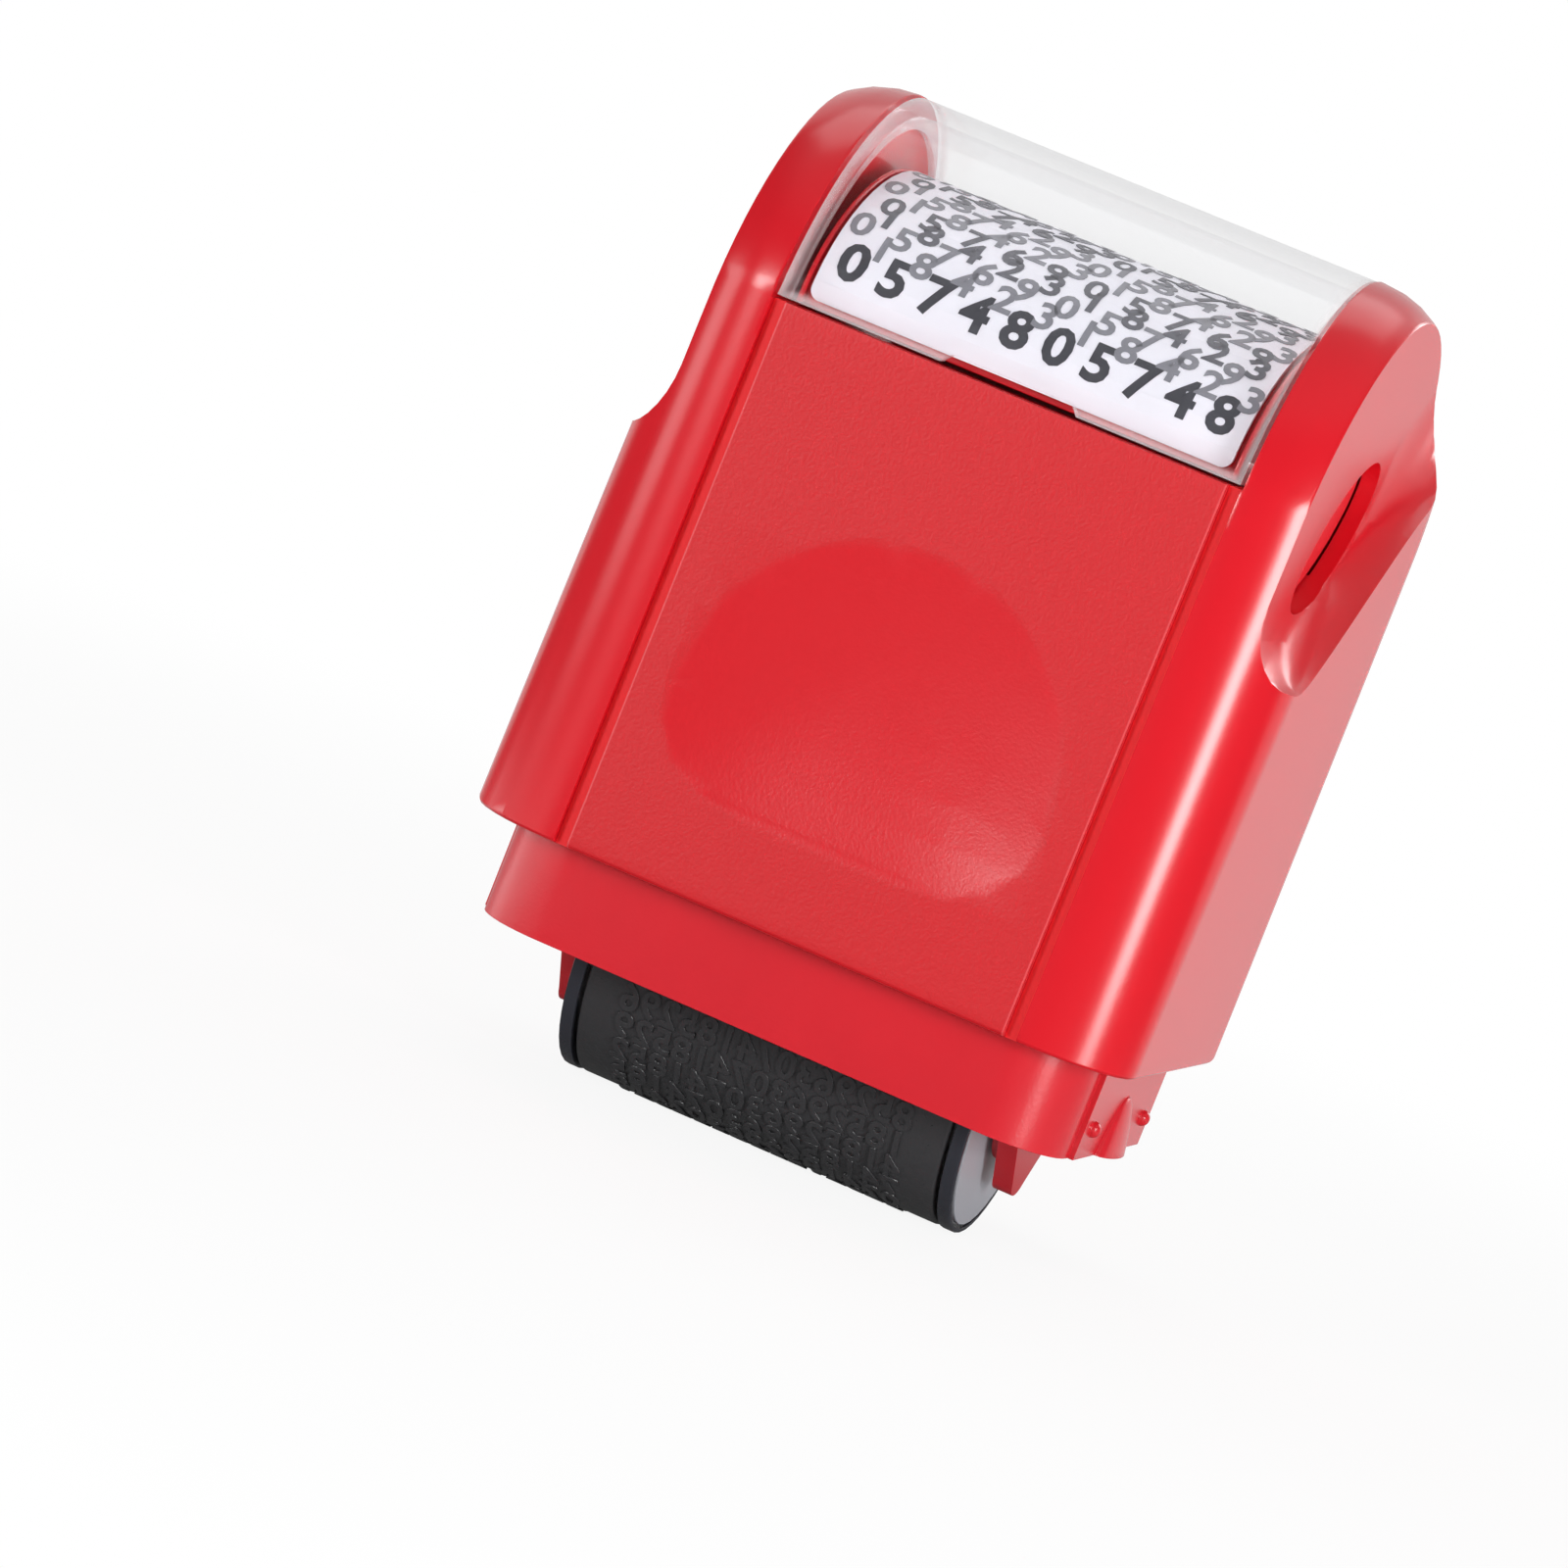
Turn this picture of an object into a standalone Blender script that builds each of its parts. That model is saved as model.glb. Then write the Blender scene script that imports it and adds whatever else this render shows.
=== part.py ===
"""Privacy roller stamp: a hand-held stamp that rolls a masking pattern over print.

A moulded housing with two rounded cheeks carries a clear index window over a
label card. A base frame snaps into it from below and guides a pull-out roller
cartridge, in which a rubber die roller turns against an ink-soaked felt roller.

Frame: +Z up, -Y front, X along the rollers, origin on the ground under the
centre of the die roller. Lengths are in metres and angles in degrees.
"""

import math

import bmesh
import bpy
from mathutils import Matrix, Vector

# Gaps and overruns shared by all pieces
FIT_GAP = 0.0003
CUT_OVERRUN = 0.003
WELD_DISTANCE = 0.000002
CURVE_STEPS = 10

# Die roller: rubber sleeve, black end rings, grey end caps, core and axle
ROLLER_RADIUS = 0.0110
RUBBER_WALL = 0.0015
ROLLER_END_ROOM = 0.0111
RUBBER_END_ROUND = 0.0003
RING_LENGTH = 0.0010
RING_DROP = 0.0001
RING_WEB = 0.00025
RING_RIM_WALL = 0.00035
CAP_THICKNESS = 0.0005
CAP_SPIGOT_RADIUS = 0.0057
CAP_SPIGOT_LENGTH = 0.0018
AXLE_RADIUS = 0.0015
AXLE_END_INSET = 0.00025
AXLE_CHAMFER = 0.0003

# Ink roller that turns against the die roller from above
INK_RADIUS = 0.0055
INK_BORE_RADIUS = 0.0031
INK_AXLE_RADIUS = 0.0010
INK_DISC_DROP = 0.0006
INK_DISC_THICKNESS = 0.0008

# Cartridge side plates, box and lid round both rollers
PLATE_THICKNESS = 0.0015
PLATE_BOSS_RADIUS = 0.0050
PLATE_BOSS_REACH = 0.00065
PLATE_HALF_DEPTH = 0.0092
PLATE_TIP_RADIUS = 0.0022
PLATE_TIP_ANGLES = (215.0, 325.0)
PLATE_TIP_DROP = 0.0070
PLATE_SHOULDER_DROP = 0.0026
PLATE_SHOULDER_HALF_DEPTH = 0.0056
PLATE_NECK_RISE = 0.0039
BOX_WALL = 0.0012
BOX_DEPTH_BELOW_TOP = 0.0098
LID_THICKNESS = 0.0011
LID_RIM_DROP = 0.0022
FILLER_RADIUS = 0.0015

# Base frame: skirt, side pads, hood over the cartridge
SKIRT_CORNER_RADIUS = 0.0056
SKIRT_WALL = 0.0016
SKIRT_EXPOSED = 0.0070
SKIRT_HIDDEN = 0.0170
DECK_THICKNESS = 0.0016
HOOD_WALL = 0.0011
HOOD_HALF_DEPTH = 0.0122
HOOD_CORNER_RADIUS = 0.0020
PAD_HALF_DEPTH = 0.0105
PAD_RAISE = 0.0004
PAD_CLEARANCE = 0.0004
DETENT_RADIUS = 0.0006
DETENT_SPACING = 0.0160
DETENT_HEIGHT = 0.0022
WEDGE_REACH = 0.0011
WEDGE_HALF_DEPTH = 0.0038
WEDGE_HEIGHT = 0.0043
GUIDE_RIB_THICKNESS = 0.0016
GUIDE_RIB_REACH = 0.00095
GUIDE_PAD_NEAR = 0.0040
GUIDE_PAD_FAR = 0.0060
SNAP_RIDGE_HALF_LENGTH = 0.0080
SNAP_RIDGE_HEIGHT = 0.0012
SNAP_RIDGE_RISE = 0.0006
SNAP_RIDGE_LEVEL = 0.0045

# Housing: overall body, dome and cheeks
HOUSING_LIFT = 0.0164
HOUSING_WIDTH = 0.0500
HOUSING_DEPTH = 0.0384
PANEL_DRAFT = 0.0010
DOME_CENTRE_RISE = 0.0378
EDGE_RADIUS = 0.0072
EDGE_SEGMENTS = 8
DOME_STEPS = 32
RIM_RADIUS = 0.0010
RIM_SEARCH = 0.00002
CREASE_ANGLE = 35.0
SQUARE_EDGE_ANGLE = 60.0
CHEEK_INSET = 0.0030
HOUSING_WALL_SIDE = 0.0020
HOUSING_WALL_FRONT = 0.0023
CHEEK_WALL = 0.0014
UPPER_WALL_FRONT = 0.0018
LOWER_CAVITY_RISE = 0.0260
ROOF_THICKNESS = 0.0016
PANEL_TOP_RISE = 0.04005
CHEEK_THICKNESS = 0.0044
BAY_WALL = 0.0007
GROOVE_INSET = 0.0001
GROOVE_WIDTH = 0.0010
GROOVE_DEPTH = 0.0006

# Thumb dimple in the front and back panels
DIMPLE_WIDTH_SHARE = 0.745
DIMPLE_HALF_HEIGHT = 0.0111
DIMPLE_RISE = 0.0202
DIMPLE_DEPTH = 0.0010
DIMPLE_BALL_RADIUS = 0.0040
DIMPLE_TILT = 2.0
DIMPLE_ROUNDNESS = 1.9
DIMPLE_SQUARENESS = 2.3

# Finger scoop: lip and inner boundary as shares of half the depth and of
# the housing's height, from front to back
SCOOP_LIP_SHARES = (
    (-1.146, 0.504), (-0.703, 0.504), (-0.510, 0.507), (-0.339, 0.539), (-0.125, 0.593),
    (0.102, 0.654), (0.333, 0.714), (0.516, 0.754), (0.729, 0.797), (1.146, 0.885))
SCOOP_INNER_SHARES = (
    (-1.146, 0.600), (-0.703, 0.593), (-0.495, 0.589), (-0.313, 0.598), (-0.130, 0.621),
    (0.026, 0.648), (0.135, 0.695), (0.229, 0.761), (0.391, 0.848), (1.146, 1.018))
SCOOP_SUBSTEPS = 3
SCOOP_ARC_STEPS = 7
SCOOP_FULLNESS = 2.0
SCOOP_SHARPENING = 0.5

# Eye in each cheek and the latch tongue seen through it. Shares are of the
# dome's radius, from its centre towards the back and upwards.
EYE_CENTRE_SHARES = (-0.1813, 0.0495)
EYE_LENGTH_SHARE = 0.445
EYE_WIDTH_SHARE = 0.2198
EYE_TILT = 35.0
EYE_STEPS = 40
POCKET_DEPTH_SHARES = (-0.687, 0.330)
POCKET_TOP_SHARE = 0.5055
POCKET_CORNER_RADIUS = 0.0030
POCKET_STEP = 0.0002
TONGUE_THICKNESS = 0.0008
TONGUE_DEPTH_SHARES = (-0.6154, 0.2527)
TONGUE_TOP_SHARE = 0.4066
TONGUE_CORNER_RADIUS = 0.0020
TONGUE_FOOT_HEIGHT = 0.0012
TONGUE_FOOT_DEPTH = 0.0024
TONGUE_RECESS = 0.0013

# Clear index window
WINDOW_DROP = 0.0001
WINDOW_THICKNESS = 0.0012
WINDOW_RIB_DEPTH = 0.0010
WINDOW_RIB_WIDTH = 0.0005
NAIL_NOTCH_HALF_WIDTH = 0.0045
NAIL_NOTCH_HEIGHT = 0.0007
NAIL_NOTCH_SLANT = 0.0006
WINDOW_STEPS = 32

# Label card and the bed that carries it
CARD_SIDE_ROOM = 0.0015
CARD_SETBACK = 0.0023
CARD_RISE_SHARE = 0.5577
CARD_THICKNESS = 0.00035
CARD_CORNER_RADIUS = 0.0008
CARD_LIFT = 0.0005
BED_THICKNESS = 0.0013
BED_EDGE_WIDTH = 0.0004
BED_EDGE_RAISE = 0.0006
ARCH_STEPS = 24

# Levels and places that follow from the sizes above
HALF_WIDTH = HOUSING_WIDTH / 2
HALF_DEPTH = HOUSING_DEPTH / 2
RUBBER_HALF_LENGTH = HALF_WIDTH - ROLLER_END_ROOM
AXLE_LEVEL = ROLLER_RADIUS
INK_LEVEL = AXLE_LEVEL + ROLLER_RADIUS + FIT_GAP + INK_RADIUS
RUBBER_BORE_RADIUS = ROLLER_RADIUS - RUBBER_WALL
CORE_RADIUS = RUBBER_BORE_RADIUS - FIT_GAP
RING_INNER_END = RUBBER_HALF_LENGTH + FIT_GAP
RING_OUTER_END = RING_INNER_END + RING_LENGTH
RING_SHOULDER = RING_INNER_END + RING_WEB
RING_RIM_RADIUS = ROLLER_RADIUS - RING_DROP - RING_RIM_WALL
CAP_RADIUS = RING_RIM_RADIUS - FIT_GAP
CAP_INNER_END = RING_SHOULDER + FIT_GAP
CAP_OUTER_END = CAP_INNER_END + CAP_THICKNESS
BOSS_END = CAP_OUTER_END + FIT_GAP
PLATE_INNER = BOSS_END + PLATE_BOSS_REACH
PLATE_OUTER = PLATE_INNER + PLATE_THICKNESS
AXLE_HALF_LENGTH = PLATE_OUTER - AXLE_END_INSET
BOX_TOP = INK_LEVEL + INK_RADIUS + FIT_GAP
CARTRIDGE_TOP = BOX_TOP + LID_THICKNESS

DOME_RADIUS = HALF_DEPTH - PANEL_DRAFT
HOUSING_HEIGHT = DOME_CENTRE_RISE + DOME_RADIUS
DOME_CENTRE = HOUSING_LIFT + DOME_CENTRE_RISE
PANEL_LEAN = PANEL_DRAFT / DOME_CENTRE_RISE
CHEEK_HALF_WIDTH = HALF_WIDTH - CHEEK_INSET
BAY_HALF_WIDTH = CHEEK_HALF_WIDTH - CHEEK_THICKNESS
GROOVE_OUTER = BAY_HALF_WIDTH - GROOVE_INSET
CAVITY_HALF_WIDTH = HALF_WIDTH - HOUSING_WALL_SIDE
UPPER_CAVITY_HALF_WIDTH = CHEEK_HALF_WIDTH - CHEEK_WALL
HOUSING_INNER_HALF_DEPTH = HALF_DEPTH - HOUSING_WALL_FRONT
UPPER_CAVITY_HALF_DEPTH = DOME_RADIUS - UPPER_WALL_FRONT
PANEL_TOP = HOUSING_LIFT + PANEL_TOP_RISE
CEILING = PANEL_TOP - ROOF_THICKNESS
EYE_CENTRE_Y = DOME_RADIUS * EYE_CENTRE_SHARES[0]
EYE_LEVEL = DOME_CENTRE + DOME_RADIUS * EYE_CENTRE_SHARES[1]
EYE_HALF_LENGTH = DOME_RADIUS * EYE_LENGTH_SHARE
EYE_HALF_WIDTH = DOME_RADIUS * EYE_WIDTH_SHARE

SKIRT_HALF_WIDTH = CAVITY_HALF_WIDTH - PAD_CLEARANCE - PAD_RAISE
SKIRT_HALF_DEPTH = HOUSING_INNER_HALF_DEPTH - FIT_GAP
SKIRT_BOTTOM = HOUSING_LIFT - SKIRT_EXPOSED
SKIRT_TOP = HOUSING_LIFT + SKIRT_HIDDEN
GUIDE_HALF_WIDTH = PLATE_OUTER + FIT_GAP
HOOD_HALF_WIDTH = GUIDE_HALF_WIDTH + HOOD_WALL
HOOD_INNER_TOP = CARTRIDGE_TOP + FIT_GAP
HOOD_TOP = HOOD_INNER_TOP + DECK_THICKNESS
PAD_OUTER = SKIRT_HALF_WIDTH + PAD_RAISE

TONGUE_OUTER = UPPER_CAVITY_HALF_WIDTH - FIT_GAP
TONGUE_INNER = TONGUE_OUTER - TONGUE_THICKNESS
TONGUE_FOOT_LEVEL = SKIRT_TOP + FIT_GAP
TONGUE_PIVOT_LEVEL = TONGUE_FOOT_LEVEL + TONGUE_FOOT_HEIGHT / 2
TONGUE_FRONT, TONGUE_BACK = [DOME_RADIUS * share for share in TONGUE_DEPTH_SHARES]
TONGUE_TOP = DOME_CENTRE + DOME_RADIUS * TONGUE_TOP_SHARE

WINDOW_RADIUS = DOME_RADIUS - WINDOW_DROP
WINDOW_INNER_RADIUS = WINDOW_RADIUS - WINDOW_THICKNESS
WINDOW_HALF_WIDTH = BAY_HALF_WIDTH - FIT_GAP
WINDOW_FOOT = PANEL_TOP + FIT_GAP
BED_FOOT = PANEL_TOP + FIT_GAP
CARD_FOOT = BED_FOOT + CARD_LIFT
CARD_HALF_WIDTH = WINDOW_HALF_WIDTH - CARD_SIDE_ROOM
CARD_HALF_DEPTH = DOME_RADIUS - CARD_SETBACK
CARD_RISE = DOME_RADIUS * CARD_RISE_SHARE
BED_HALF_WIDTH = CARD_HALF_WIDTH + FIT_GAP + BED_EDGE_WIDTH

# Colours as linear red, green and blue
GLOSS_RED = (0.72, 0.012, 0.022)
SATIN_RED = (0.58, 0.020, 0.028)
CARTRIDGE_RED = (0.52, 0.014, 0.020)
RUBBER_BLACK = (0.018, 0.018, 0.020)
RING_BLACK = (0.010, 0.010, 0.012)
CAP_GREY = (0.42, 0.44, 0.48)
CORE_WHITE = (0.70, 0.70, 0.68)
STEEL = (0.56, 0.56, 0.58)
FELT_GREY = (0.045, 0.045, 0.055)
CARD_WHITE = (0.86, 0.86, 0.90)
WINDOW_CLEAR = (0.95, 0.97, 1.00)


def clear_scene():
    for old in list(bpy.data.objects):
        bpy.data.objects.remove(old, do_unlink=True)


def new_collection(name):
    made = bpy.data.collections.new(name)
    bpy.context.scene.collection.children.link(made)
    return made


def keep(obj, name, colour, roughness, metallic=0.0, alpha=1.0):
    """Name a finished piece, give it its own material and file it as a part."""
    obj.name = name
    obj.data.name = name
    material = bpy.data.materials.new(name)
    material.use_nodes = True
    shader = material.node_tree.nodes["Principled BSDF"]
    shader.inputs["Base Color"].default_value = (*colour, 1.0)
    shader.inputs["Roughness"].default_value = roughness
    shader.inputs["Metallic"].default_value = metallic
    shader.inputs["Alpha"].default_value = alpha
    obj.data.materials.clear()
    obj.data.materials.append(material)
    PARTS.objects.link(obj)
    return obj


def as_tool(obj):
    """File an object as a cutter or a joining shape that is no part itself."""
    if obj.name not in TOOLS.objects:
        TOOLS.objects.link(obj)
    obj.hide_render = True
    obj.display_type = 'WIRE'
    return obj


def combine(target, tool, operation):
    modifier = target.modifiers.new(tool.name, 'BOOLEAN')
    modifier.operation = operation
    modifier.solver = 'EXACT'
    modifier.object = as_tool(tool)


def cut(target, *tools):
    for tool in tools:
        combine(target, tool, 'DIFFERENCE')


def join(target, *tools):
    for tool in tools:
        combine(target, tool, 'UNION')


def baked(obj):
    """Apply an object's modifiers and mark its sharp edges."""
    view_layer = bpy.context.view_layer
    holder = bpy.context.scene.collection
    linked = obj.name in holder.objects
    if not linked:
        holder.objects.link(obj)
    view_layer.update()
    evaluated = obj.evaluated_get(bpy.context.evaluated_depsgraph_get())
    mesh = bpy.data.meshes.new_from_object(evaluated)
    if not linked:
        holder.objects.unlink(obj)
    obj.modifiers.clear()
    obj.data = mesh
    mesh.shade_smooth()
    mesh.set_sharp_from_angle(angle=math.radians(CREASE_ANGLE))
    return obj


def face_outward(shape):
    bmesh.ops.recalc_face_normals(shape, faces=shape.faces)
    if shape.calc_volume(signed=True) < 0:
        bmesh.ops.reverse_faces(shape, faces=shape.faces)


def box(name, low, high):
    """A block between two opposite corners."""
    shape = bmesh.new()
    bmesh.ops.create_cube(shape, size=1)
    size = [b - a for a, b in zip(low, high)]
    centre = [(a + b) / 2 for a, b in zip(low, high)]
    bmesh.ops.scale(shape, vec=size, verts=shape.verts)
    bmesh.ops.translate(shape, vec=centre, verts=shape.verts)
    mesh = bpy.data.meshes.new(name)
    shape.to_mesh(mesh)
    shape.free()
    return bpy.data.objects.new(name, mesh)


# For each axis: where an outline's own x, y and depth directions point
OUTLINE_FRAMES = {
    'X': Matrix(((0, 0, 1), (1, 0, 0), (0, 1, 0))),
    'Y': Matrix(((1, 0, 0), (0, 0, -1), (0, 1, 0))),
    'Z': Matrix(((1, 0, 0), (0, 1, 0), (0, 0, 1)))}


def prism(name, outline, low, high, axis):
    """A flat outline given depth from low to high along an axis.

    The outline is in (y, z) for X, in (x, z) for Y and in (x, y) for Z.
    """
    curve = bpy.data.curves.new(name, 'CURVE')
    curve.dimensions = '2D'
    curve.fill_mode = 'BOTH'
    curve.extrude = (high - low) / 2
    spline = curve.splines.new('POLY')
    spline.points.add(len(outline) - 1)
    for point, (a, b) in zip(spline.points, outline):
        point.co = (a, b, 0, 1)
    spline.use_cyclic_u = True
    drawn = bpy.data.objects.new(name, curve)
    bpy.context.scene.collection.objects.link(drawn)
    bpy.context.view_layer.update()
    evaluated = drawn.evaluated_get(bpy.context.evaluated_depsgraph_get())
    mesh = bpy.data.meshes.new_from_object(evaluated)
    bpy.data.objects.remove(drawn, do_unlink=True)

    shape = bmesh.new()
    shape.from_mesh(mesh)
    bmesh.ops.remove_doubles(shape, verts=shape.verts, dist=WELD_DISTANCE)
    turn = OUTLINE_FRAMES[axis]
    middle = (low + high) / 2
    depth_direction = turn @ Vector((0, 0, 1))
    along = sum(depth_direction)
    for vert in shape.verts:
        vert.co = turn @ vert.co + depth_direction * middle * along
    face_outward(shape)
    shape.to_mesh(mesh)
    shape.free()
    return bpy.data.objects.new(name, mesh)


def arc(centre, radius_a, radius_b, start, end, steps):
    """Points of an elliptical arc between two angles in degrees."""
    points = []
    for step in range(steps + 1):
        angle = math.radians(start + (end - start) * step / steps)
        points.append((centre[0] + radius_a * math.cos(angle),
                       centre[1] + radius_b * math.sin(angle)))
    return points


def rounded_rectangle(low, high, radius, steps=CURVE_STEPS):
    """A rectangle between two corners, with round corners."""
    corners = (((high[0] - radius, high[1] - radius), 0),
               ((low[0] + radius, high[1] - radius), 90),
               ((low[0] + radius, low[1] + radius), 180),
               ((high[0] - radius, low[1] + radius), 270))
    points = []
    for centre, start in corners:
        points += arc(centre, radius, radius, start, start + 90, steps)
    return points


def centred_rectangle(half_a, half_b, radius):
    return rounded_rectangle((-half_a, -half_b), (half_a, half_b), radius)


def turned(name, profile, level, steps):
    """A profile of (radius, place along X) pairs turned about the X axis.

    The profile runs from +X to -X down its outer side. An open profile that
    starts and ends on the axis makes a solid, and a closed one makes a ring.
    """
    mesh = bpy.data.meshes.new(name)
    hollow = all(radius > 0 for radius, _ in profile)
    edges = [(i, i + 1) for i in range(len(profile) - 1)]
    if hollow:
        edges.append((len(profile) - 1, 0))
    mesh.from_pydata([(radius, 0, along) for radius, along in profile], edges, [])
    obj = bpy.data.objects.new(name, mesh)
    obj.location = (0, 0, level)
    obj.rotation_euler = (0, math.pi / 2, 0)
    screw = obj.modifiers.new("Turn", 'SCREW')
    screw.axis = 'Z'
    screw.steps = steps
    screw.render_steps = steps
    screw.use_merge_vertices = True
    screw.merge_threshold = WELD_DISTANCE
    screw.use_smooth_shade = True
    return obj


def ring_profile(outer, inner, left, right):
    return [(outer, right), (outer, left), (inner, left), (inner, right)]


def smooth_path(points, substeps):
    """A Catmull-Rom curve through a list of (y, z) points."""
    path = []
    last = len(points) - 1
    for i in range(last):
        p0, p1 = points[max(i - 1, 0)], points[i]
        p2, p3 = points[i + 1], points[min(i + 2, last)]
        for step in range(substeps):
            t = step / substeps
            path.append(tuple(
                0.5 * (2 * b + (c - a) * t + (2 * a - 5 * b + 4 * c - d) * t ** 2
                       + (3 * b - a - 3 * c + d) * t ** 3)
                for a, b, c, d in zip(p0, p1, p2, p3)))
    path.append(tuple(points[last]))
    return path


# Housing

def body_outline():
    """Front, dome and back of the housing, seen from the side."""
    below = EDGE_RADIUS + CUT_OVERRUN
    foot = HALF_DEPTH + PANEL_LEAN * below
    dome = arc((0, DOME_CENTRE), DOME_RADIUS, DOME_RADIUS, 0, 180, DOME_STEPS)
    return [(foot, HOUSING_LIFT - below)] + dome + [(-foot, HOUSING_LIFT - below)]


def round_bottom_rim(obj):
    """Round the outer edge where the housing ends below."""
    shape = bmesh.new()
    shape.from_mesh(obj.data)
    rim = [edge for edge in shape.edges
           if all(abs(vert.co.z - HOUSING_LIFT) < RIM_SEARCH for vert in edge.verts)
           and len(edge.link_faces) == 2
           and edge.calc_face_angle(0) > math.radians(CREASE_ANGLE)]
    bmesh.ops.bevel(shape, geom=rim, offset=RIM_RADIUS, offset_type='OFFSET', segments=3,
                    profile=0.5, affect='EDGES', clamp_overlap=True)
    shape.to_mesh(obj.data)
    shape.free()


def scoop_cutter(side):
    """What a finger scoop takes away: a loft from the cheek out to its lip."""
    lip = [(y * HALF_DEPTH, HOUSING_LIFT + z * HOUSING_HEIGHT) for y, z in SCOOP_LIP_SHARES]
    inner = [(y * HALF_DEPTH, HOUSING_LIFT + z * HOUSING_HEIGHT) for y, z in SCOOP_INNER_SHARES]
    lip = smooth_path(lip, SCOOP_SUBSTEPS)
    inner = smooth_path(inner, SCOOP_SUBSTEPS)
    top = HOUSING_LIFT + HOUSING_HEIGHT + CUT_OVERRUN
    outside = HALF_WIDTH + CUT_OVERRUN

    shape = bmesh.new()
    rows = []
    for row, ((lip_y, lip_z), (inner_y, inner_z)) in enumerate(zip(lip, inner)):
        along = row / (len(lip) - 1)
        fullness = SCOOP_FULLNESS - SCOOP_SHARPENING * math.sin(math.pi * along)
        places = []
        for step in range(SCOOP_ARC_STEPS + 1):
            angle = math.pi / 2 * step / SCOOP_ARC_STEPS
            share = math.sin(angle) ** (2 / fullness)
            rise = 1 - max(0, math.cos(angle)) ** (2 / fullness)
            reach = CHEEK_HALF_WIDTH + CHEEK_INSET * rise
            places.append((side * reach, inner_y + (lip_y - inner_y) * share,
                           inner_z + (lip_z - inner_z) * share))
        places.append((side * outside, lip_y, lip_z))
        places.append((side * outside, lip_y, top))
        places.append((side * CHEEK_HALF_WIDTH, inner_y, top))
        rows.append([shape.verts.new(place) for place in places])
    for row, following in zip(rows, rows[1:]):
        for i in range(len(row)):
            j = (i + 1) % len(row)
            shape.faces.new((row[i], row[j], following[j], following[i]))
    shape.faces.new(rows[0])
    shape.faces.new(rows[-1])
    bmesh.ops.triangulate(shape, faces=shape.faces)
    face_outward(shape)
    mesh = bpy.data.meshes.new("scoop_cutter")
    shape.to_mesh(mesh)
    shape.free()
    return bpy.data.objects.new("scoop_cutter", mesh)


def dimple_cutter(side):
    """A flattened ball whose lower half is squarer, for one thumb dimple."""
    offset = DIMPLE_BALL_RADIUS - DIMPLE_DEPTH
    opening_share = math.sqrt(1 - (offset / DIMPLE_BALL_RADIUS) ** 2)
    surface = HALF_DEPTH - PANEL_LEAN * DIMPLE_RISE
    shape = bmesh.new()
    bmesh.ops.create_uvsphere(shape, u_segments=36, v_segments=18, radius=1)
    bmesh.ops.rotate(shape, cent=(0, 0, 0), matrix=Matrix.Rotation(math.pi / 2, 3, 'X'),
                     verts=shape.verts)
    for vert in shape.verts:
        angle = math.atan2(vert.co.z, vert.co.x)
        power = DIMPLE_ROUNDNESS + DIMPLE_SQUARENESS * max(0, -math.sin(angle))
        spread = (abs(math.cos(angle)) ** power + abs(math.sin(angle)) ** power) ** (-1 / power)
        vert.co.x *= spread * BAY_HALF_WIDTH * DIMPLE_WIDTH_SHARE / opening_share
        vert.co.z *= spread * DIMPLE_HALF_HEIGHT / opening_share
        vert.co.y *= DIMPLE_BALL_RADIUS
    tilt = Matrix.Rotation(math.radians(-side * DIMPLE_TILT), 3, 'X')
    bmesh.ops.rotate(shape, cent=(0, 0, 0), matrix=tilt, verts=shape.verts)
    bmesh.ops.translate(shape, verts=shape.verts,
                        vec=(0, side * (surface + offset), HOUSING_LIFT + DIMPLE_RISE))
    mesh = bpy.data.meshes.new("dimple_cutter")
    shape.to_mesh(mesh)
    shape.free()
    return bpy.data.objects.new("dimple_cutter", mesh)


def groove_cutter(side_x, side_y):
    """One of the sunk lines between a panel and its rails."""
    outside = HALF_DEPTH + CUT_OVERRUN
    top = PANEL_TOP + CUT_OVERRUN
    arch = math.sqrt(DOME_RADIUS ** 2 - (PANEL_TOP - DOME_CENTRE) ** 2)
    floor = [(HALF_DEPTH + PANEL_LEAN * CUT_OVERRUN - GROOVE_DEPTH, HOUSING_LIFT - CUT_OVERRUN),
             (DOME_RADIUS - GROOVE_DEPTH, DOME_CENTRE),
             (arch - GROOVE_DEPTH, top)]
    outline = [(outside, HOUSING_LIFT - CUT_OVERRUN)] + floor + [(outside, top)]
    outline = [(side_y * y, z) for y, z in outline]
    low, high = sorted((side_x * (GROOVE_OUTER - GROOVE_WIDTH), side_x * GROOVE_OUTER))
    return prism("groove_cutter", outline, low, high, 'X')


def eye_outline(margin):
    """The slanted ellipse of the eye, drawn in by a margin."""
    tilt = math.radians(EYE_TILT)
    ellipse = arc((0, 0), EYE_HALF_LENGTH - margin, EYE_HALF_WIDTH - margin, 0, 360, EYE_STEPS)
    return [(EYE_CENTRE_Y + a * math.cos(tilt) - b * math.sin(tilt),
             EYE_LEVEL + a * math.sin(tilt) + b * math.cos(tilt)) for a, b in ellipse[:-1]]


def cheek_pocket(side):
    """Room inside a cheek for the latch tongue, above the ceiling."""
    front, back = [DOME_RADIUS * share for share in POCKET_DEPTH_SHARES]
    top = DOME_CENTRE + DOME_RADIUS * POCKET_TOP_SHARE
    outline = rounded_rectangle((front, CEILING - CUT_OVERRUN), (back, top), POCKET_CORNER_RADIUS)
    near = BAY_HALF_WIDTH + BAY_WALL
    low, high = sorted((side * near, side * (UPPER_CAVITY_HALF_WIDTH + POCKET_STEP)))
    return prism("cheek_pocket", outline, low, high, 'X')


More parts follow.
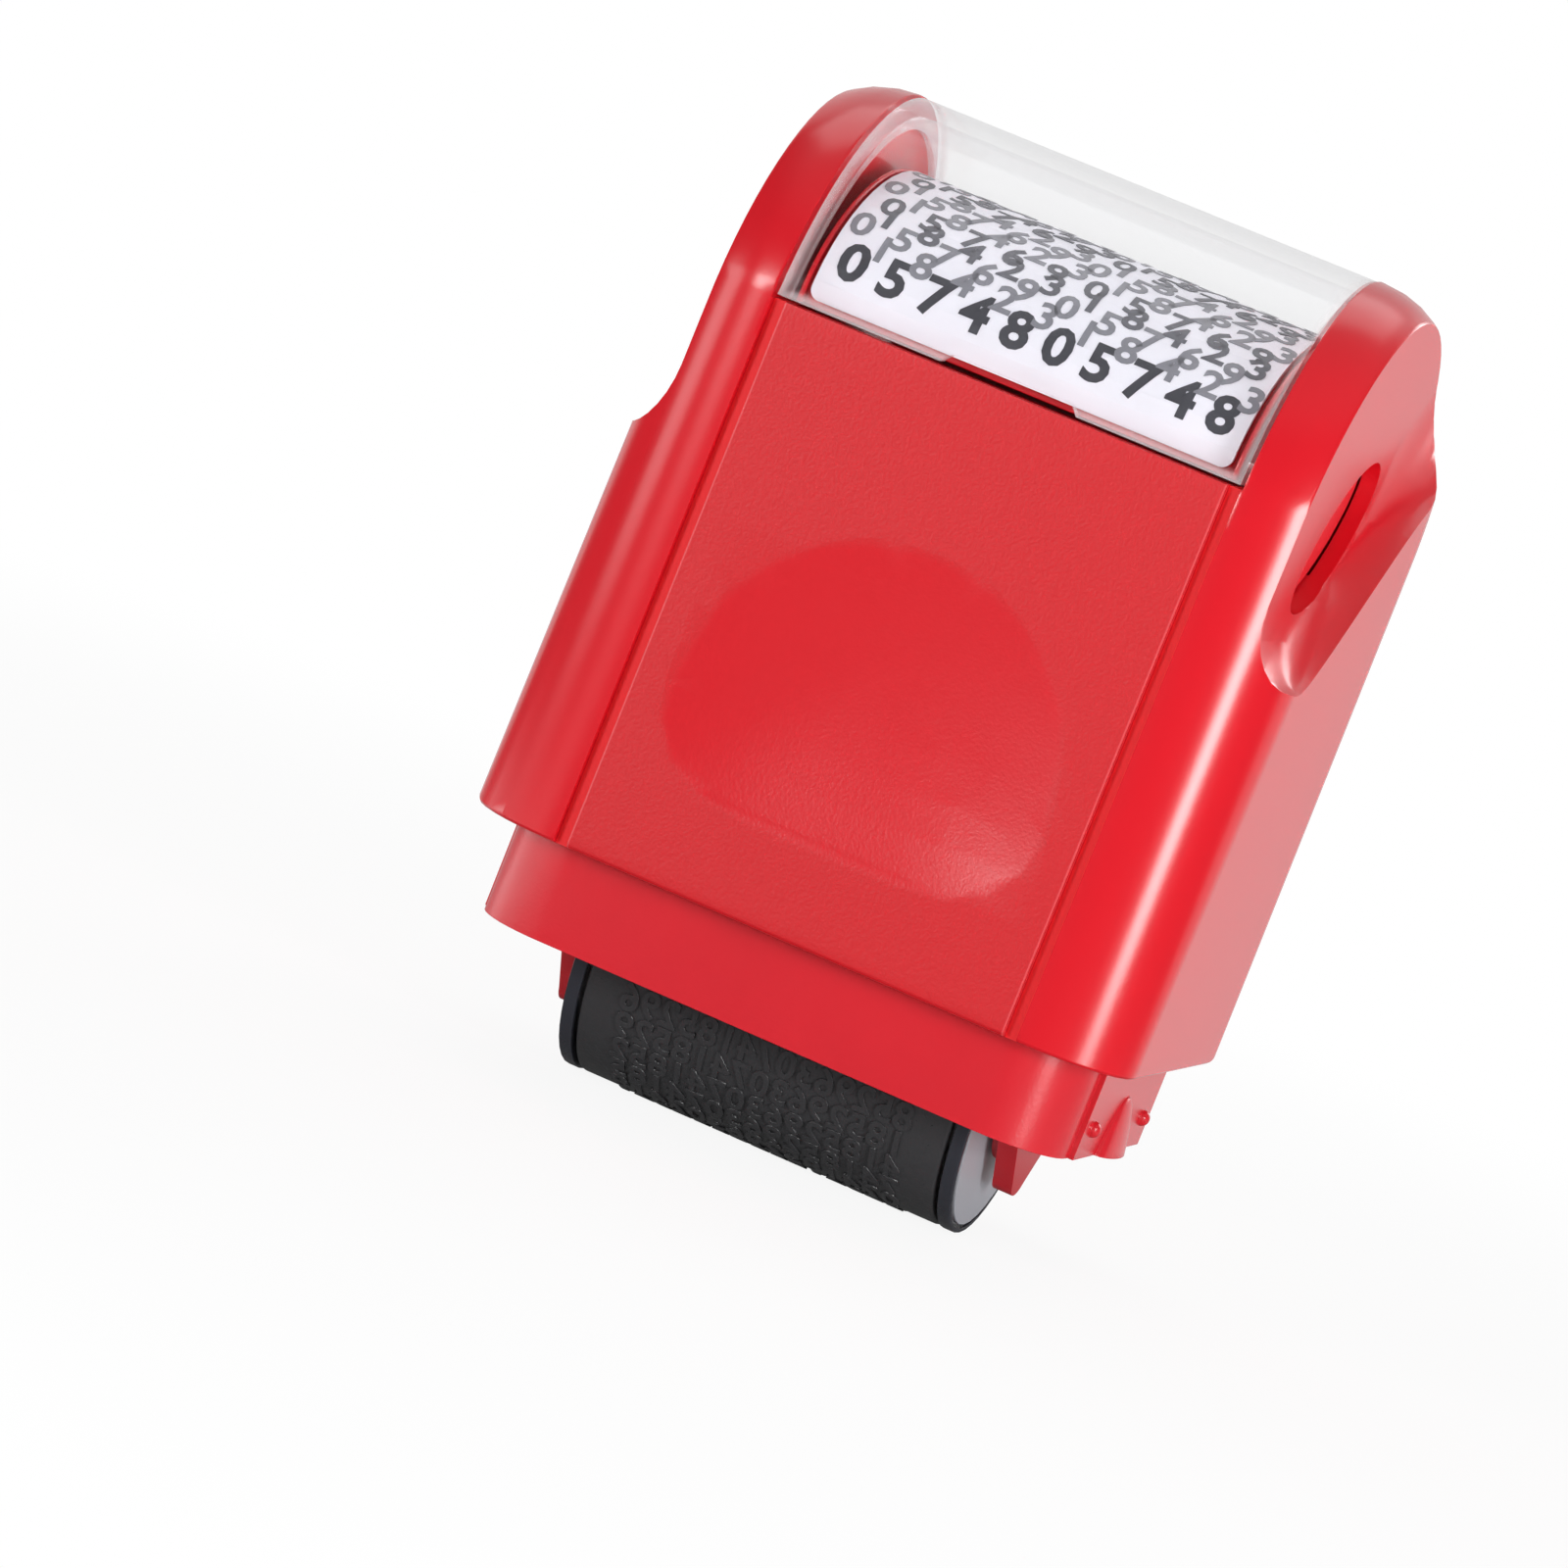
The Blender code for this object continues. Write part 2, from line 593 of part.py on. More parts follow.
def bay_cutter():
    """The bay between the cheeks, open to the front, top and back."""
    outside = HALF_DEPTH + CUT_OVERRUN
    top = HOUSING_LIFT + HOUSING_HEIGHT + CUT_OVERRUN
    return box("bay", (-BAY_HALF_WIDTH, -outside, PANEL_TOP), (BAY_HALF_WIDTH, outside, top))


def snap_groove_cutter():
    """Grooves inside the front and back walls that the base frame snaps into."""
    half_length = SNAP_RIDGE_HALF_LENGTH + FIT_GAP
    half_depth = HOUSING_INNER_HALF_DEPTH + SNAP_RIDGE_RISE
    level = HOUSING_LIFT + SNAP_RIDGE_LEVEL
    half_height = SNAP_RIDGE_HEIGHT / 2 + FIT_GAP
    return box("snap_groove", (-half_length, -half_depth, level - half_height),
               (half_length, half_depth, level + half_height))


def build_housing():
    housing = prism("housing_blank", body_outline(), -HALF_WIDTH, HALF_WIDTH, 'X')
    rounding = housing.modifiers.new("Rounded rails", 'BEVEL')
    rounding.width = EDGE_RADIUS
    rounding.segments = EDGE_SEGMENTS
    rounding.limit_method = 'ANGLE'
    rounding.angle_limit = math.radians(SQUARE_EDGE_ANGLE)
    rounding.use_clamp_overlap = False
    outside = HALF_WIDTH + CUT_OVERRUN
    cut(housing, box("below", (-outside, -outside, -HOUSING_HEIGHT), (outside, outside, HOUSING_LIFT)))
    baked(housing)
    round_bottom_rim(housing)

    for side in (-1, 1):
        cut(housing, scoop_cutter(side))
    lower = centred_rectangle(CAVITY_HALF_WIDTH, HOUSING_INNER_HALF_DEPTH,
                              EDGE_RADIUS - HOUSING_WALL_SIDE)
    cut(housing, prism("lower_cavity", lower, HOUSING_LIFT - CUT_OVERRUN,
                       HOUSING_LIFT + LOWER_CAVITY_RISE, 'Z'))
    upper = centred_rectangle(UPPER_CAVITY_HALF_WIDTH, UPPER_CAVITY_HALF_DEPTH,
                              EDGE_RADIUS - CHEEK_INSET)
    cut(housing, prism("upper_cavity", upper, HOUSING_LIFT + LOWER_CAVITY_RISE - CUT_OVERRUN,
                       CEILING, 'Z'))
    cut(housing, bay_cutter())
    cut(housing, snap_groove_cutter())
    for side in (-1, 1):
        cut(housing, cheek_pocket(side))
        low, high = sorted((side * (UPPER_CAVITY_HALF_WIDTH - FIT_GAP), side * outside))
        cut(housing, prism("eye_cutter", eye_outline(0), low, high, 'X'))
        cut(housing, dimple_cutter(side))
        for side_y in (-1, 1):
            cut(housing, groove_cutter(side, side_y))
    baked(housing)
    return keep(housing, "housing", GLOSS_RED, 0.22)


# Base frame

def skirt_outline(inset):
    return centred_rectangle(SKIRT_HALF_WIDTH - inset, SKIRT_HALF_DEPTH - inset,
                             SKIRT_CORNER_RADIUS - inset)


def wedge(side):
    """The round-nosed wedge on a side pad that widens down to the skirt's edge."""
    shape = bmesh.new()
    bmesh.ops.create_uvsphere(shape, u_segments=32, v_segments=16, radius=1)
    for vert in shape.verts:
        vert.co.z = max(0, vert.co.z) ** 2
    bmesh.ops.scale(shape, vec=(WEDGE_REACH, WEDGE_HALF_DEPTH, WEDGE_HEIGHT), verts=shape.verts)
    bmesh.ops.translate(shape, vec=(side * PAD_OUTER, 0, SKIRT_BOTTOM), verts=shape.verts)
    mesh = bpy.data.meshes.new("wedge")
    shape.to_mesh(mesh)
    shape.free()
    return bpy.data.objects.new("wedge", mesh)


def detent(side, place):
    """A round bump that a cover would snap over."""
    shape = bmesh.new()
    bmesh.ops.create_uvsphere(shape, u_segments=20, v_segments=12, radius=DETENT_RADIUS)
    bmesh.ops.translate(shape, verts=shape.verts,
                        vec=(side * PAD_OUTER, place, SKIRT_BOTTOM + DETENT_HEIGHT))
    mesh = bpy.data.meshes.new("detent")
    shape.to_mesh(mesh)
    shape.free()
    return bpy.data.objects.new("detent", mesh)


def guide_ribs(side):
    """Ribs inside the skirt that guide one side plate of the cartridge."""
    reach = SKIRT_HALF_WIDTH - SKIRT_WALL / 2
    low_level = SKIRT_BOTTOM + SKIRT_WALL
    near = PLATE_HALF_DEPTH + FIT_GAP
    ribs = []
    for end in (-1, 1):
        spans = ((GUIDE_HALF_WIDTH - GUIDE_RIB_REACH, near, near + GUIDE_RIB_THICKNESS),
                 (GUIDE_HALF_WIDTH, GUIDE_PAD_NEAR, GUIDE_PAD_FAR))
        for inner, first, second in spans:
            low_x, high_x = sorted((side * inner, side * reach))
            low_y, high_y = sorted((end * first, end * second))
            ribs.append(box("guide_rib", (low_x, low_y, low_level),
                            (high_x, high_y, SKIRT_TOP - DECK_THICKNESS / 2)))
    return ribs


def build_base_frame():
    frame = prism("skirt", skirt_outline(0), SKIRT_BOTTOM, SKIRT_TOP, 'Z')
    hood = centred_rectangle(HOOD_HALF_WIDTH, HOOD_HALF_DEPTH, HOOD_CORNER_RADIUS)
    join(frame, prism("hood", hood, SKIRT_TOP - DECK_THICKNESS, HOOD_TOP, 'Z'))
    cut(frame, prism("skirt_cavity", skirt_outline(SKIRT_WALL), SKIRT_BOTTOM - CUT_OVERRUN,
                     SKIRT_TOP - DECK_THICKNESS, 'Z'))
    for side in (-1, 1):
        low, high = sorted((side * (SKIRT_HALF_WIDTH - SKIRT_WALL / 2), side * PAD_OUTER))
        join(frame, box("side_pad", (low, -PAD_HALF_DEPTH, SKIRT_BOTTOM),
                        (high, PAD_HALF_DEPTH, SKIRT_TOP)))
        join(frame, wedge(side))
        join(frame, *[detent(side, end * DETENT_SPACING / 2) for end in (-1, 1)])
        join(frame, *guide_ribs(side))
    half_depth = PLATE_HALF_DEPTH + FIT_GAP
    cut(frame, box("cartridge_bay", (-GUIDE_HALF_WIDTH, -half_depth, SKIRT_TOP - SKIRT_HIDDEN / 2),
                   (GUIDE_HALF_WIDTH, half_depth, HOOD_INNER_TOP)))
    level = HOUSING_LIFT + SNAP_RIDGE_LEVEL
    for end in (-1, 1):
        near = SKIRT_HALF_DEPTH - SKIRT_WALL / 2
        far = HOUSING_INNER_HALF_DEPTH + SNAP_RIDGE_RISE - FIT_GAP
        low, high = sorted((end * near, end * far))
        join(frame, box("snap_ridge", (-SNAP_RIDGE_HALF_LENGTH, low, level - SNAP_RIDGE_HEIGHT / 2),
                        (SNAP_RIDGE_HALF_LENGTH, high, level + SNAP_RIDGE_HEIGHT / 2)))
    baked(frame)
    return keep(frame, "base_frame", SATIN_RED, 0.42)


def build_latch_tongue(side, name):
    """A springy tongue of the base unit whose nose fills the eye of a cheek."""
    outline = rounded_rectangle((TONGUE_FRONT, TONGUE_FOOT_LEVEL), (TONGUE_BACK, TONGUE_TOP),
                                TONGUE_CORNER_RADIUS)
    low, high = sorted((side * TONGUE_INNER, side * TONGUE_OUTER))
    tongue = prism("tongue", outline, low, high, 'X')
    low, high = sorted((side * (TONGUE_OUTER - TONGUE_THICKNESS / 2),
                        side * (CHEEK_HALF_WIDTH - TONGUE_RECESS)))
    join(tongue, prism("nose", eye_outline(FIT_GAP), low, high, 'X'))
    low, high = sorted((side * TONGUE_INNER, side * (TONGUE_INNER + TONGUE_FOOT_DEPTH)))
    join(tongue, box("foot", (low, TONGUE_FRONT, TONGUE_FOOT_LEVEL),
                     (high, TONGUE_BACK, TONGUE_FOOT_LEVEL + TONGUE_FOOT_HEIGHT)))
    baked(tongue)
    pivot = Vector((side * (TONGUE_INNER + TONGUE_OUTER) / 2, 0, TONGUE_PIVOT_LEVEL))
    tongue.data.transform(Matrix.Translation(-pivot))
    tongue.location = pivot
    return keep(tongue, name, CARTRIDGE_RED, 0.55)


# Cartridge

def plate_outline():
    """A side plate: wide above, tapering to a round tip below the axle."""
    tip_centre = (0, AXLE_LEVEL - PLATE_TIP_DROP + PLATE_TIP_RADIUS)
    tip = arc(tip_centre, PLATE_TIP_RADIUS, PLATE_TIP_RADIUS, *PLATE_TIP_ANGLES, CURVE_STEPS)
    shoulder = AXLE_LEVEL - PLATE_SHOULDER_DROP
    neck = AXLE_LEVEL + PLATE_NECK_RISE
    return ([(PLATE_HALF_DEPTH, BOX_TOP), (-PLATE_HALF_DEPTH, BOX_TOP), (-PLATE_HALF_DEPTH, neck),
             (-PLATE_SHOULDER_HALF_DEPTH, shoulder)] + tip
            + [(PLATE_SHOULDER_HALF_DEPTH, shoulder), (PLATE_HALF_DEPTH, neck)])


def bore_cutter(radius, level):
    reach = PLATE_OUTER + CUT_OVERRUN
    return turned("bore_cutter", [(0, reach), (radius, reach), (radius, -reach), (0, -reach)],
                  level, 32)


def build_roller_carriage():
    carriage = prism("right_plate", plate_outline(), PLATE_INNER, PLATE_OUTER, 'X')
    join(carriage, prism("left_plate", plate_outline(), -PLATE_OUTER, -PLATE_INNER, 'X'))
    overlap = PLATE_INNER + PLATE_THICKNESS / 2
    boss = arc((0, AXLE_LEVEL), PLATE_BOSS_RADIUS, PLATE_BOSS_RADIUS, 0, 360, EYE_STEPS)
    for side in (-1, 1):
        low, high = sorted((side * BOSS_END, side * (PLATE_INNER + PLATE_BOSS_REACH)))
        join(carriage, prism("axle_boss", boss[:-1], low, high, 'X'))
    floor = BOX_TOP - BOX_DEPTH_BELOW_TOP
    for end in (-1, 1):
        low, high = sorted((end * (PLATE_HALF_DEPTH - BOX_WALL), end * PLATE_HALF_DEPTH))
        join(carriage, box("box_wall", (-overlap, low, floor), (overlap, high, BOX_TOP)))
    cut(carriage, bore_cutter(AXLE_RADIUS + FIT_GAP, AXLE_LEVEL),
        bore_cutter(INK_AXLE_RADIUS + FIT_GAP, INK_LEVEL))
    baked(carriage)
    return keep(carriage, "roller_carriage", CARTRIDGE_RED, 0.45)


def build_cartridge_lid():
    """The lid over the ink roller, with its filler hole and locating rim."""
    inner_half_depth = PLATE_HALF_DEPTH - BOX_WALL - FIT_GAP
    inner_half_width = PLATE_INNER - FIT_GAP
    lid = box("lid_plate", (-PLATE_OUTER, -PLATE_HALF_DEPTH, BOX_TOP + FIT_GAP),
              (PLATE_OUTER, PLATE_HALF_DEPTH, CARTRIDGE_TOP))
    for end in (-1, 1):
        low, high = sorted((end * (inner_half_depth - BOX_WALL), end * inner_half_depth))
        join(lid, box("lid_rim", (-inner_half_width, low, BOX_TOP - LID_RIM_DROP),
                      (inner_half_width, high, CARTRIDGE_TOP - LID_THICKNESS / 2)))
    hole = arc((0, 0), FILLER_RADIUS, FILLER_RADIUS, 0, 360, CURVE_STEPS * 2)
    cut(lid, prism("filler_hole", hole[:-1], BOX_TOP - CUT_OVERRUN, CARTRIDGE_TOP + CUT_OVERRUN,
                   'Z'))
    baked(lid)
    return keep(lid, "cartridge_lid", CARTRIDGE_RED, 0.45)


# Die roller

def axle_profile(radius, half_length):
    return [(0, half_length), (radius - AXLE_CHAMFER, half_length),
            (radius, half_length - AXLE_CHAMFER), (radius, AXLE_CHAMFER - half_length),
            (radius - AXLE_CHAMFER, -half_length), (0, -half_length)]


def build_die_roller():
    axle = turned("axle", axle_profile(AXLE_RADIUS, AXLE_HALF_LENGTH), AXLE_LEVEL, 32)
    keep(axle, "die_axle", STEEL, 0.25, metallic=1.0)

    bore = AXLE_RADIUS + FIT_GAP
    spigot_end = CAP_INNER_END - CAP_SPIGOT_LENGTH
    recess = spigot_end - FIT_GAP
    counterbore = CAP_SPIGOT_RADIUS + FIT_GAP
    core = [(CORE_RADIUS, RING_SHOULDER), (CORE_RADIUS, -RING_SHOULDER),
            (counterbore, -RING_SHOULDER), (counterbore, -recess), (bore, -recess),
            (bore, recess), (counterbore, recess), (counterbore, RING_SHOULDER)]
    keep(turned("core", core, AXLE_LEVEL, 40), "die_core", CORE_WHITE, 0.5)

    shoulder = ROLLER_RADIUS - RUBBER_END_ROUND
    full = RUBBER_HALF_LENGTH - RUBBER_END_ROUND
    rubber = [(shoulder, RUBBER_HALF_LENGTH), (ROLLER_RADIUS, full), (ROLLER_RADIUS, -full),
              (shoulder, -RUBBER_HALF_LENGTH), (RUBBER_BORE_RADIUS, -RUBBER_HALF_LENGTH),
              (RUBBER_BORE_RADIUS, RUBBER_HALF_LENGTH)]
    keep(turned("rubber", rubber, AXLE_LEVEL, 56), "rubber_die", RUBBER_BLACK, 0.6)

    rim = ROLLER_RADIUS - RING_DROP
    ring = [(rim - RING_DROP, RING_OUTER_END), (rim, RING_OUTER_END - RING_DROP),
            (rim, RING_INNER_END), (RUBBER_BORE_RADIUS, RING_INNER_END),
            (RUBBER_BORE_RADIUS, RING_SHOULDER), (RING_RIM_RADIUS, RING_SHOULDER),
            (RING_RIM_RADIUS, RING_OUTER_END)]
    cap = [(bore, CAP_OUTER_END), (CAP_RADIUS, CAP_OUTER_END), (CAP_RADIUS, CAP_INNER_END),
           (CAP_SPIGOT_RADIUS, CAP_INNER_END), (CAP_SPIGOT_RADIUS, spigot_end),
           (bore, spigot_end)]
    for side, word in ((-1, "left"), (1, "right")):
        turn = (0, side * math.pi / 2, 0)
        ring_object = turned("ring", ring, AXLE_LEVEL, 48)
        ring_object.rotation_euler = turn
        keep(ring_object, "die_ring_" + word, RING_BLACK, 0.35)
        cap_object = turned("cap", cap, AXLE_LEVEL, 40)
        cap_object.rotation_euler = turn
        keep(cap_object, "die_cap_" + word, CAP_GREY, 0.35)


# Ink roller

def build_ink_roller():
    axle = turned("axle", axle_profile(INK_AXLE_RADIUS, AXLE_HALF_LENGTH), INK_LEVEL, 24)
    keep(axle, "ink_axle", STEEL, 0.25, metallic=1.0)
    bore = INK_AXLE_RADIUS + FIT_GAP
    core_end = RUBBER_HALF_LENGTH + FIT_GAP
    core = ring_profile(INK_BORE_RADIUS - FIT_GAP, bore, -core_end, core_end)
    keep(turned("core", core, INK_LEVEL, 32), "ink_core", CORE_WHITE, 0.5)
    felt = ring_profile(INK_RADIUS, INK_BORE_RADIUS, -RUBBER_HALF_LENGTH, RUBBER_HALF_LENGTH)
    keep(turned("felt", felt, INK_LEVEL, 36), "ink_felt", FELT_GREY, 0.95)
    for side, word in ((-1, "left"), (1, "right")):
        near = core_end + FIT_GAP
        low, high = sorted((side * near, side * (near + INK_DISC_THICKNESS)))
        disc = ring_profile(INK_RADIUS - INK_DISC_DROP, bore, low, high)
        keep(turned("disc", disc, INK_LEVEL, 32), "ink_disc_" + word, CORE_WHITE, 0.5)


# Label and window

def arch_outline(half_depth, rise, thickness, foot):
    """An elliptical arch shell, seen from the side."""
    outer = arc((0, foot), half_depth, rise, 0, 180, ARCH_STEPS)
    inner = arc((0, foot), half_depth - thickness, rise - thickness, 180, 0, ARCH_STEPS)
    return outer + inner


def build_label_bed():
    """The arch under the card, with a raised edge along each end."""
    under = CARD_THICKNESS + FIT_GAP
    half_depth = CARD_HALF_DEPTH - under
    rise = CARD_RISE + CARD_LIFT - under
    raised = arch_outline(half_depth + BED_EDGE_RAISE, rise + BED_EDGE_RAISE,
                          BED_THICKNESS + BED_EDGE_RAISE, BED_FOOT)
    bed = prism("bed", raised, -BED_HALF_WIDTH, BED_HALF_WIDTH, 'X')
    above = (arc((0, BED_FOOT), half_depth, rise, 0, 180, ARCH_STEPS)
             + [(-half_depth, BED_FOOT - CUT_OVERRUN),
                (-half_depth - CUT_OVERRUN, BED_FOOT - CUT_OVERRUN),
                (-half_depth - CUT_OVERRUN, BED_FOOT + rise + CUT_OVERRUN),
                (half_depth + CUT_OVERRUN, BED_FOOT + rise + CUT_OVERRUN),
                (half_depth + CUT_OVERRUN, BED_FOOT - CUT_OVERRUN),
                (half_depth, BED_FOOT - CUT_OVERRUN)])
    inset = BED_HALF_WIDTH - BED_EDGE_WIDTH
    cut(bed, prism("above_bed", above, -inset, inset, 'X'))
    baked(bed)
    return keep(bed, "label_bed", GLOSS_RED, 0.35)


def build_label_card():
    outline = arch_outline(CARD_HALF_DEPTH, CARD_RISE, CARD_THICKNESS, CARD_FOOT)
    card = prism("card", outline, -CARD_HALF_WIDTH, CARD_HALF_WIDTH, 'X')
    reach = CARD_RISE + CUT_OVERRUN
    window = rounded_rectangle((-CARD_HALF_WIDTH, CARD_FOOT), (CARD_HALF_WIDTH, CARD_FOOT + reach),
                               CARD_CORNER_RADIUS)
    outside = CARD_HALF_DEPTH + CUT_OVERRUN
    combine(card, prism("card_corners", window, -outside, outside, 'Y'), 'INTERSECT')
    baked(card)
    return keep(card, "label_card", CARD_WHITE, 0.6)


def window_outline(outer, inner):
    """A round arch whose feet are cut level above the front panel."""
    start = math.degrees(math.asin((WINDOW_FOOT - DOME_CENTRE) / outer))
    inner_start = math.degrees(math.asin((WINDOW_FOOT - DOME_CENTRE) / inner))
    centre = (0, DOME_CENTRE)
    return (arc(centre, outer, outer, start, 180 - start, WINDOW_STEPS)
            + arc(centre, inner, inner, 180 - inner_start, inner_start, WINDOW_STEPS))


def build_index_window():
    """The clear cover: a shell with a rib along each end and a nail notch."""
    shell = window_outline(WINDOW_RADIUS, WINDOW_INNER_RADIUS - WINDOW_RIB_DEPTH)
    window = prism("window", shell, -WINDOW_HALF_WIDTH, WINDOW_HALF_WIDTH, 'X')
    inside = arc((0, DOME_CENTRE), WINDOW_INNER_RADIUS, WINDOW_INNER_RADIUS, 0, 180, WINDOW_STEPS)
    inset = WINDOW_HALF_WIDTH - WINDOW_RIB_WIDTH
    cut(window, prism("inside_window", inside, -inset, inset, 'X'))
    foot_half = NAIL_NOTCH_HALF_WIDTH + NAIL_NOTCH_SLANT
    notch = [(-foot_half, WINDOW_FOOT - CUT_OVERRUN), (foot_half, WINDOW_FOOT - CUT_OVERRUN),
             (foot_half, WINDOW_FOOT), (NAIL_NOTCH_HALF_WIDTH, WINDOW_FOOT + NAIL_NOTCH_HEIGHT),
             (-NAIL_NOTCH_HALF_WIDTH, WINDOW_FOOT + NAIL_NOTCH_HEIGHT), (-foot_half, WINDOW_FOOT)]
    cut(window, prism("nail_notch", notch, -HALF_DEPTH, 0, 'Y'))
    baked(window)
    return keep(window, "index_window", WINDOW_CLEAR, 0.05, alpha=0.3)


clear_scene()
PARTS = new_collection("privacy_roller_stamp")
TOOLS = new_collection("cutters")
build_housing()
build_base_frame()
build_latch_tongue(-1, "latch_tongue_left")
build_latch_tongue(1, "latch_tongue_right")
build_roller_carriage()
build_cartridge_lid()
build_die_roller()
build_ink_roller()
build_label_bed()
build_label_card()
build_index_window()
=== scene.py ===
"""Privacy roller stamp: finished surfaces, printed label, raised die, studio and camera."""

import math

import bpy
from mathutils import Matrix, Vector


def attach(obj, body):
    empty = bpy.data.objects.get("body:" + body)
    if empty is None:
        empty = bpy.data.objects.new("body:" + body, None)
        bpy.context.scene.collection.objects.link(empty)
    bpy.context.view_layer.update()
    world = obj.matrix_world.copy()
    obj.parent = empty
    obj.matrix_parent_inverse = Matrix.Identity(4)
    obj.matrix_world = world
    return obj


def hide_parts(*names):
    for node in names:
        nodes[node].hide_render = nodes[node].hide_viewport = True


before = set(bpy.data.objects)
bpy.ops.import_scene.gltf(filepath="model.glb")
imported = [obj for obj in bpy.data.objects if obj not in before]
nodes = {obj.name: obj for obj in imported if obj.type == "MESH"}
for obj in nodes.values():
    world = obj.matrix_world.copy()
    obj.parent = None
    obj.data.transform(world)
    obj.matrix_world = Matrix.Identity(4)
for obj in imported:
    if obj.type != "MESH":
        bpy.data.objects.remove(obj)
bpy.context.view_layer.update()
bpy.ops.object.select_all(action='DESELECT')

# Camera
# A long lens a little above and to the right of the front, rolled so that the stamp leans
# across the frame.
SENSOR_WIDTH = 36
LENS = 193.8
NEAREST, FARTHEST = 0.05, 20
CAMERA_PLACE = Matrix(((0.89533, -0.38301, 0.22734, 0.12602),
                       (0.25068, 0.01142, -0.96800, -0.57250),
                       (0.36816, 0.92367, 0.10624, 0.08705),
                       (0, 0, 0, 1)))

bpy.ops.object.camera_add()
camera = bpy.context.object
camera.data.sensor_width = SENSOR_WIDTH
camera.data.lens = LENS
camera.data.clip_start = NEAREST
camera.data.clip_end = FARTHEST
camera.matrix_world = CAMERA_PLACE
bpy.context.scene.camera = camera
bpy.ops.object.select_all(action='DESELECT')

# Housing
# One shell moulded in glossy red ABS. Its two panels carry a fine spark-eroded grain between
# the sunk lines, the thumb dimples are smoother, and every mould edge is slightly round.
HOUSING_RED = (0.67, 0.007, 0.016, 1)
PANEL_RED = (0.61, 0.005, 0.011, 1)
# A deeper, purer red painted on the floors of the sunk lines as their shade.
GROOVE_SHADE_RED = (0.95, 0.0, 0.008, 1)
# A paler red painted along the panels' edges as a highlight.
PANEL_HIGHLIGHT_RED = (0.74, 0.070, 0.080, 1)
HOUSING_ROUGHNESS = 0.22
PANEL_ROUGHNESS = 0.48
GROOVE_ROUGHNESS = 0.5
DIMPLE_MATTE = 0.46          # how far a dimple's floor keeps the panel's finish
PLASTIC_IOR = 1.5
GRAIN_DETAIL = 3

# The panels: their half width, the depth that they begin at, the depth of their front at floor
# level, how it leans back as it rises, the sunk lines beside them, whose floors get painted
# shade, and the painted highlight along the panels' edges.
PANEL_EDGE = 0.0165
PANEL_DEPTH = 0.0160
FRONT_DEPTH = 0.01962
PANEL_LEAN = 0.026
GROOVE_SPAN = (0.01662, 0.01742)
GROOVE_FLOOR = 0.0004
GROOVE_FADE = 0.00004
DIMPLE_SKIN = (0.00001, 0.00016)
EDGE_FADE = 0.00005
DEPTH_FADE = 0.0002
PANEL_HIGHLIGHT_SPAN = (0.00016, 0.00006)

HOUSING_GRAIN_SCALE = 4200
HOUSING_GRAIN = (0.01, 0.9)  # on the glossy parts and on the panels
WAVE_SCALE = 260
WAVE_HEIGHT = 0.06
HOUSING_BUMP = (0.35, 0.00012)

# The rounding of the mould edges, in metres and degrees, and the heights of the cuts.
WELD = 0.000004
FLAT_ANGLE = 0.04
CREASE_ANGLE = 24
SMOOTH_ANGLE = 36
FLAT_WEIGHT = 60
HOUSING_EDGE = 0.00022
HOUSING_CUTS = [0.0175 + 0.0030 * step for step in range(14)]

# The upright corners, each a quarter of an oval: how far out and how deep its middle lies, how
# that leans as it rises, how wide the oval is, and how near a point has to be to it.
ROUND_AXIS = 0.0178
ROUND_FOOT = 0.01394
ROUND_LEAN = 0.0545
ROUND_WIDTH = 0.0072
ROUND_SLACK = 0.006
ROUND_MISS = 0.025
ROUND_MATCH = 0.90


def soft_edged(node, name, body, width, levels=()):
    """The CAD piece with its mould edges rounded, ready for its material. Cuts at some levels
    keep the faces of its round corners even, so that they shade smoothly."""
    piece = bpy.data.objects.new(name, nodes[node].data.copy())
    bpy.context.scene.collection.objects.link(piece)
    piece.data.materials.clear()
    bpy.context.view_layer.objects.active = piece
    piece.select_set(True)
    bpy.ops.mesh.customdata_custom_splitnormals_clear()
    bpy.ops.object.mode_set(mode='EDIT')
    bpy.ops.mesh.select_all(action='SELECT')
    bpy.ops.mesh.remove_doubles(threshold=WELD)
    bpy.ops.mesh.mark_sharp(clear=True)
    bpy.ops.mesh.dissolve_limited(angle_limit=math.radians(FLAT_ANGLE))
    bpy.ops.object.mode_set(mode='OBJECT')
    edges = piece.modifiers.new("Round edges", 'BEVEL')
    edges.width = width
    edges.segments = 2
    edges.limit_method = 'ANGLE'
    edges.angle_limit = math.radians(CREASE_ANGLE)
    edges.use_clamp_overlap = True
    bpy.ops.object.modifier_apply(modifier=edges.name)
    bpy.ops.object.mode_set(mode='EDIT')
    for level in levels:
        bpy.ops.mesh.select_all(action='SELECT')
        bpy.ops.mesh.bisect(plane_co=(0, 0, level), plane_no=(0, 0, 1))
    bpy.ops.object.mode_set(mode='OBJECT')
    bpy.ops.object.shade_smooth_by_angle(angle=math.radians(SMOOTH_ANGLE))
    flats = piece.modifiers.new("Flat faces stay flat", 'WEIGHTED_NORMAL')
    flats.keep_sharp = True
    flats.weight = FLAT_WEIGHT
    piece.select_set(False)
    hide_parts(node)
    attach(piece, body)
    return piece


def painted(name):
    """A new material, with its node tree and its shader."""
    material = bpy.data.materials.new(name)
    material.use_nodes = True
    return material, material.node_tree, material.node_tree.nodes["Principled BSDF"]


def feed(tree, socket, value):
    """A socket is linked to another one, or set to a number or a colour."""
    if isinstance(value, bpy.types.NodeSocket):
        tree.links.new(value, socket)
    else:
        socket.default_value = value


def reckon(tree, operation, first, *second):
    """A Math node on one or two values, each a socket or a number."""
    node = tree.nodes.new('ShaderNodeMath')
    node.operation = operation
    for socket, value in zip(node.inputs, (first, *second)):
        feed(tree, socket, value)
    return node.outputs[0]


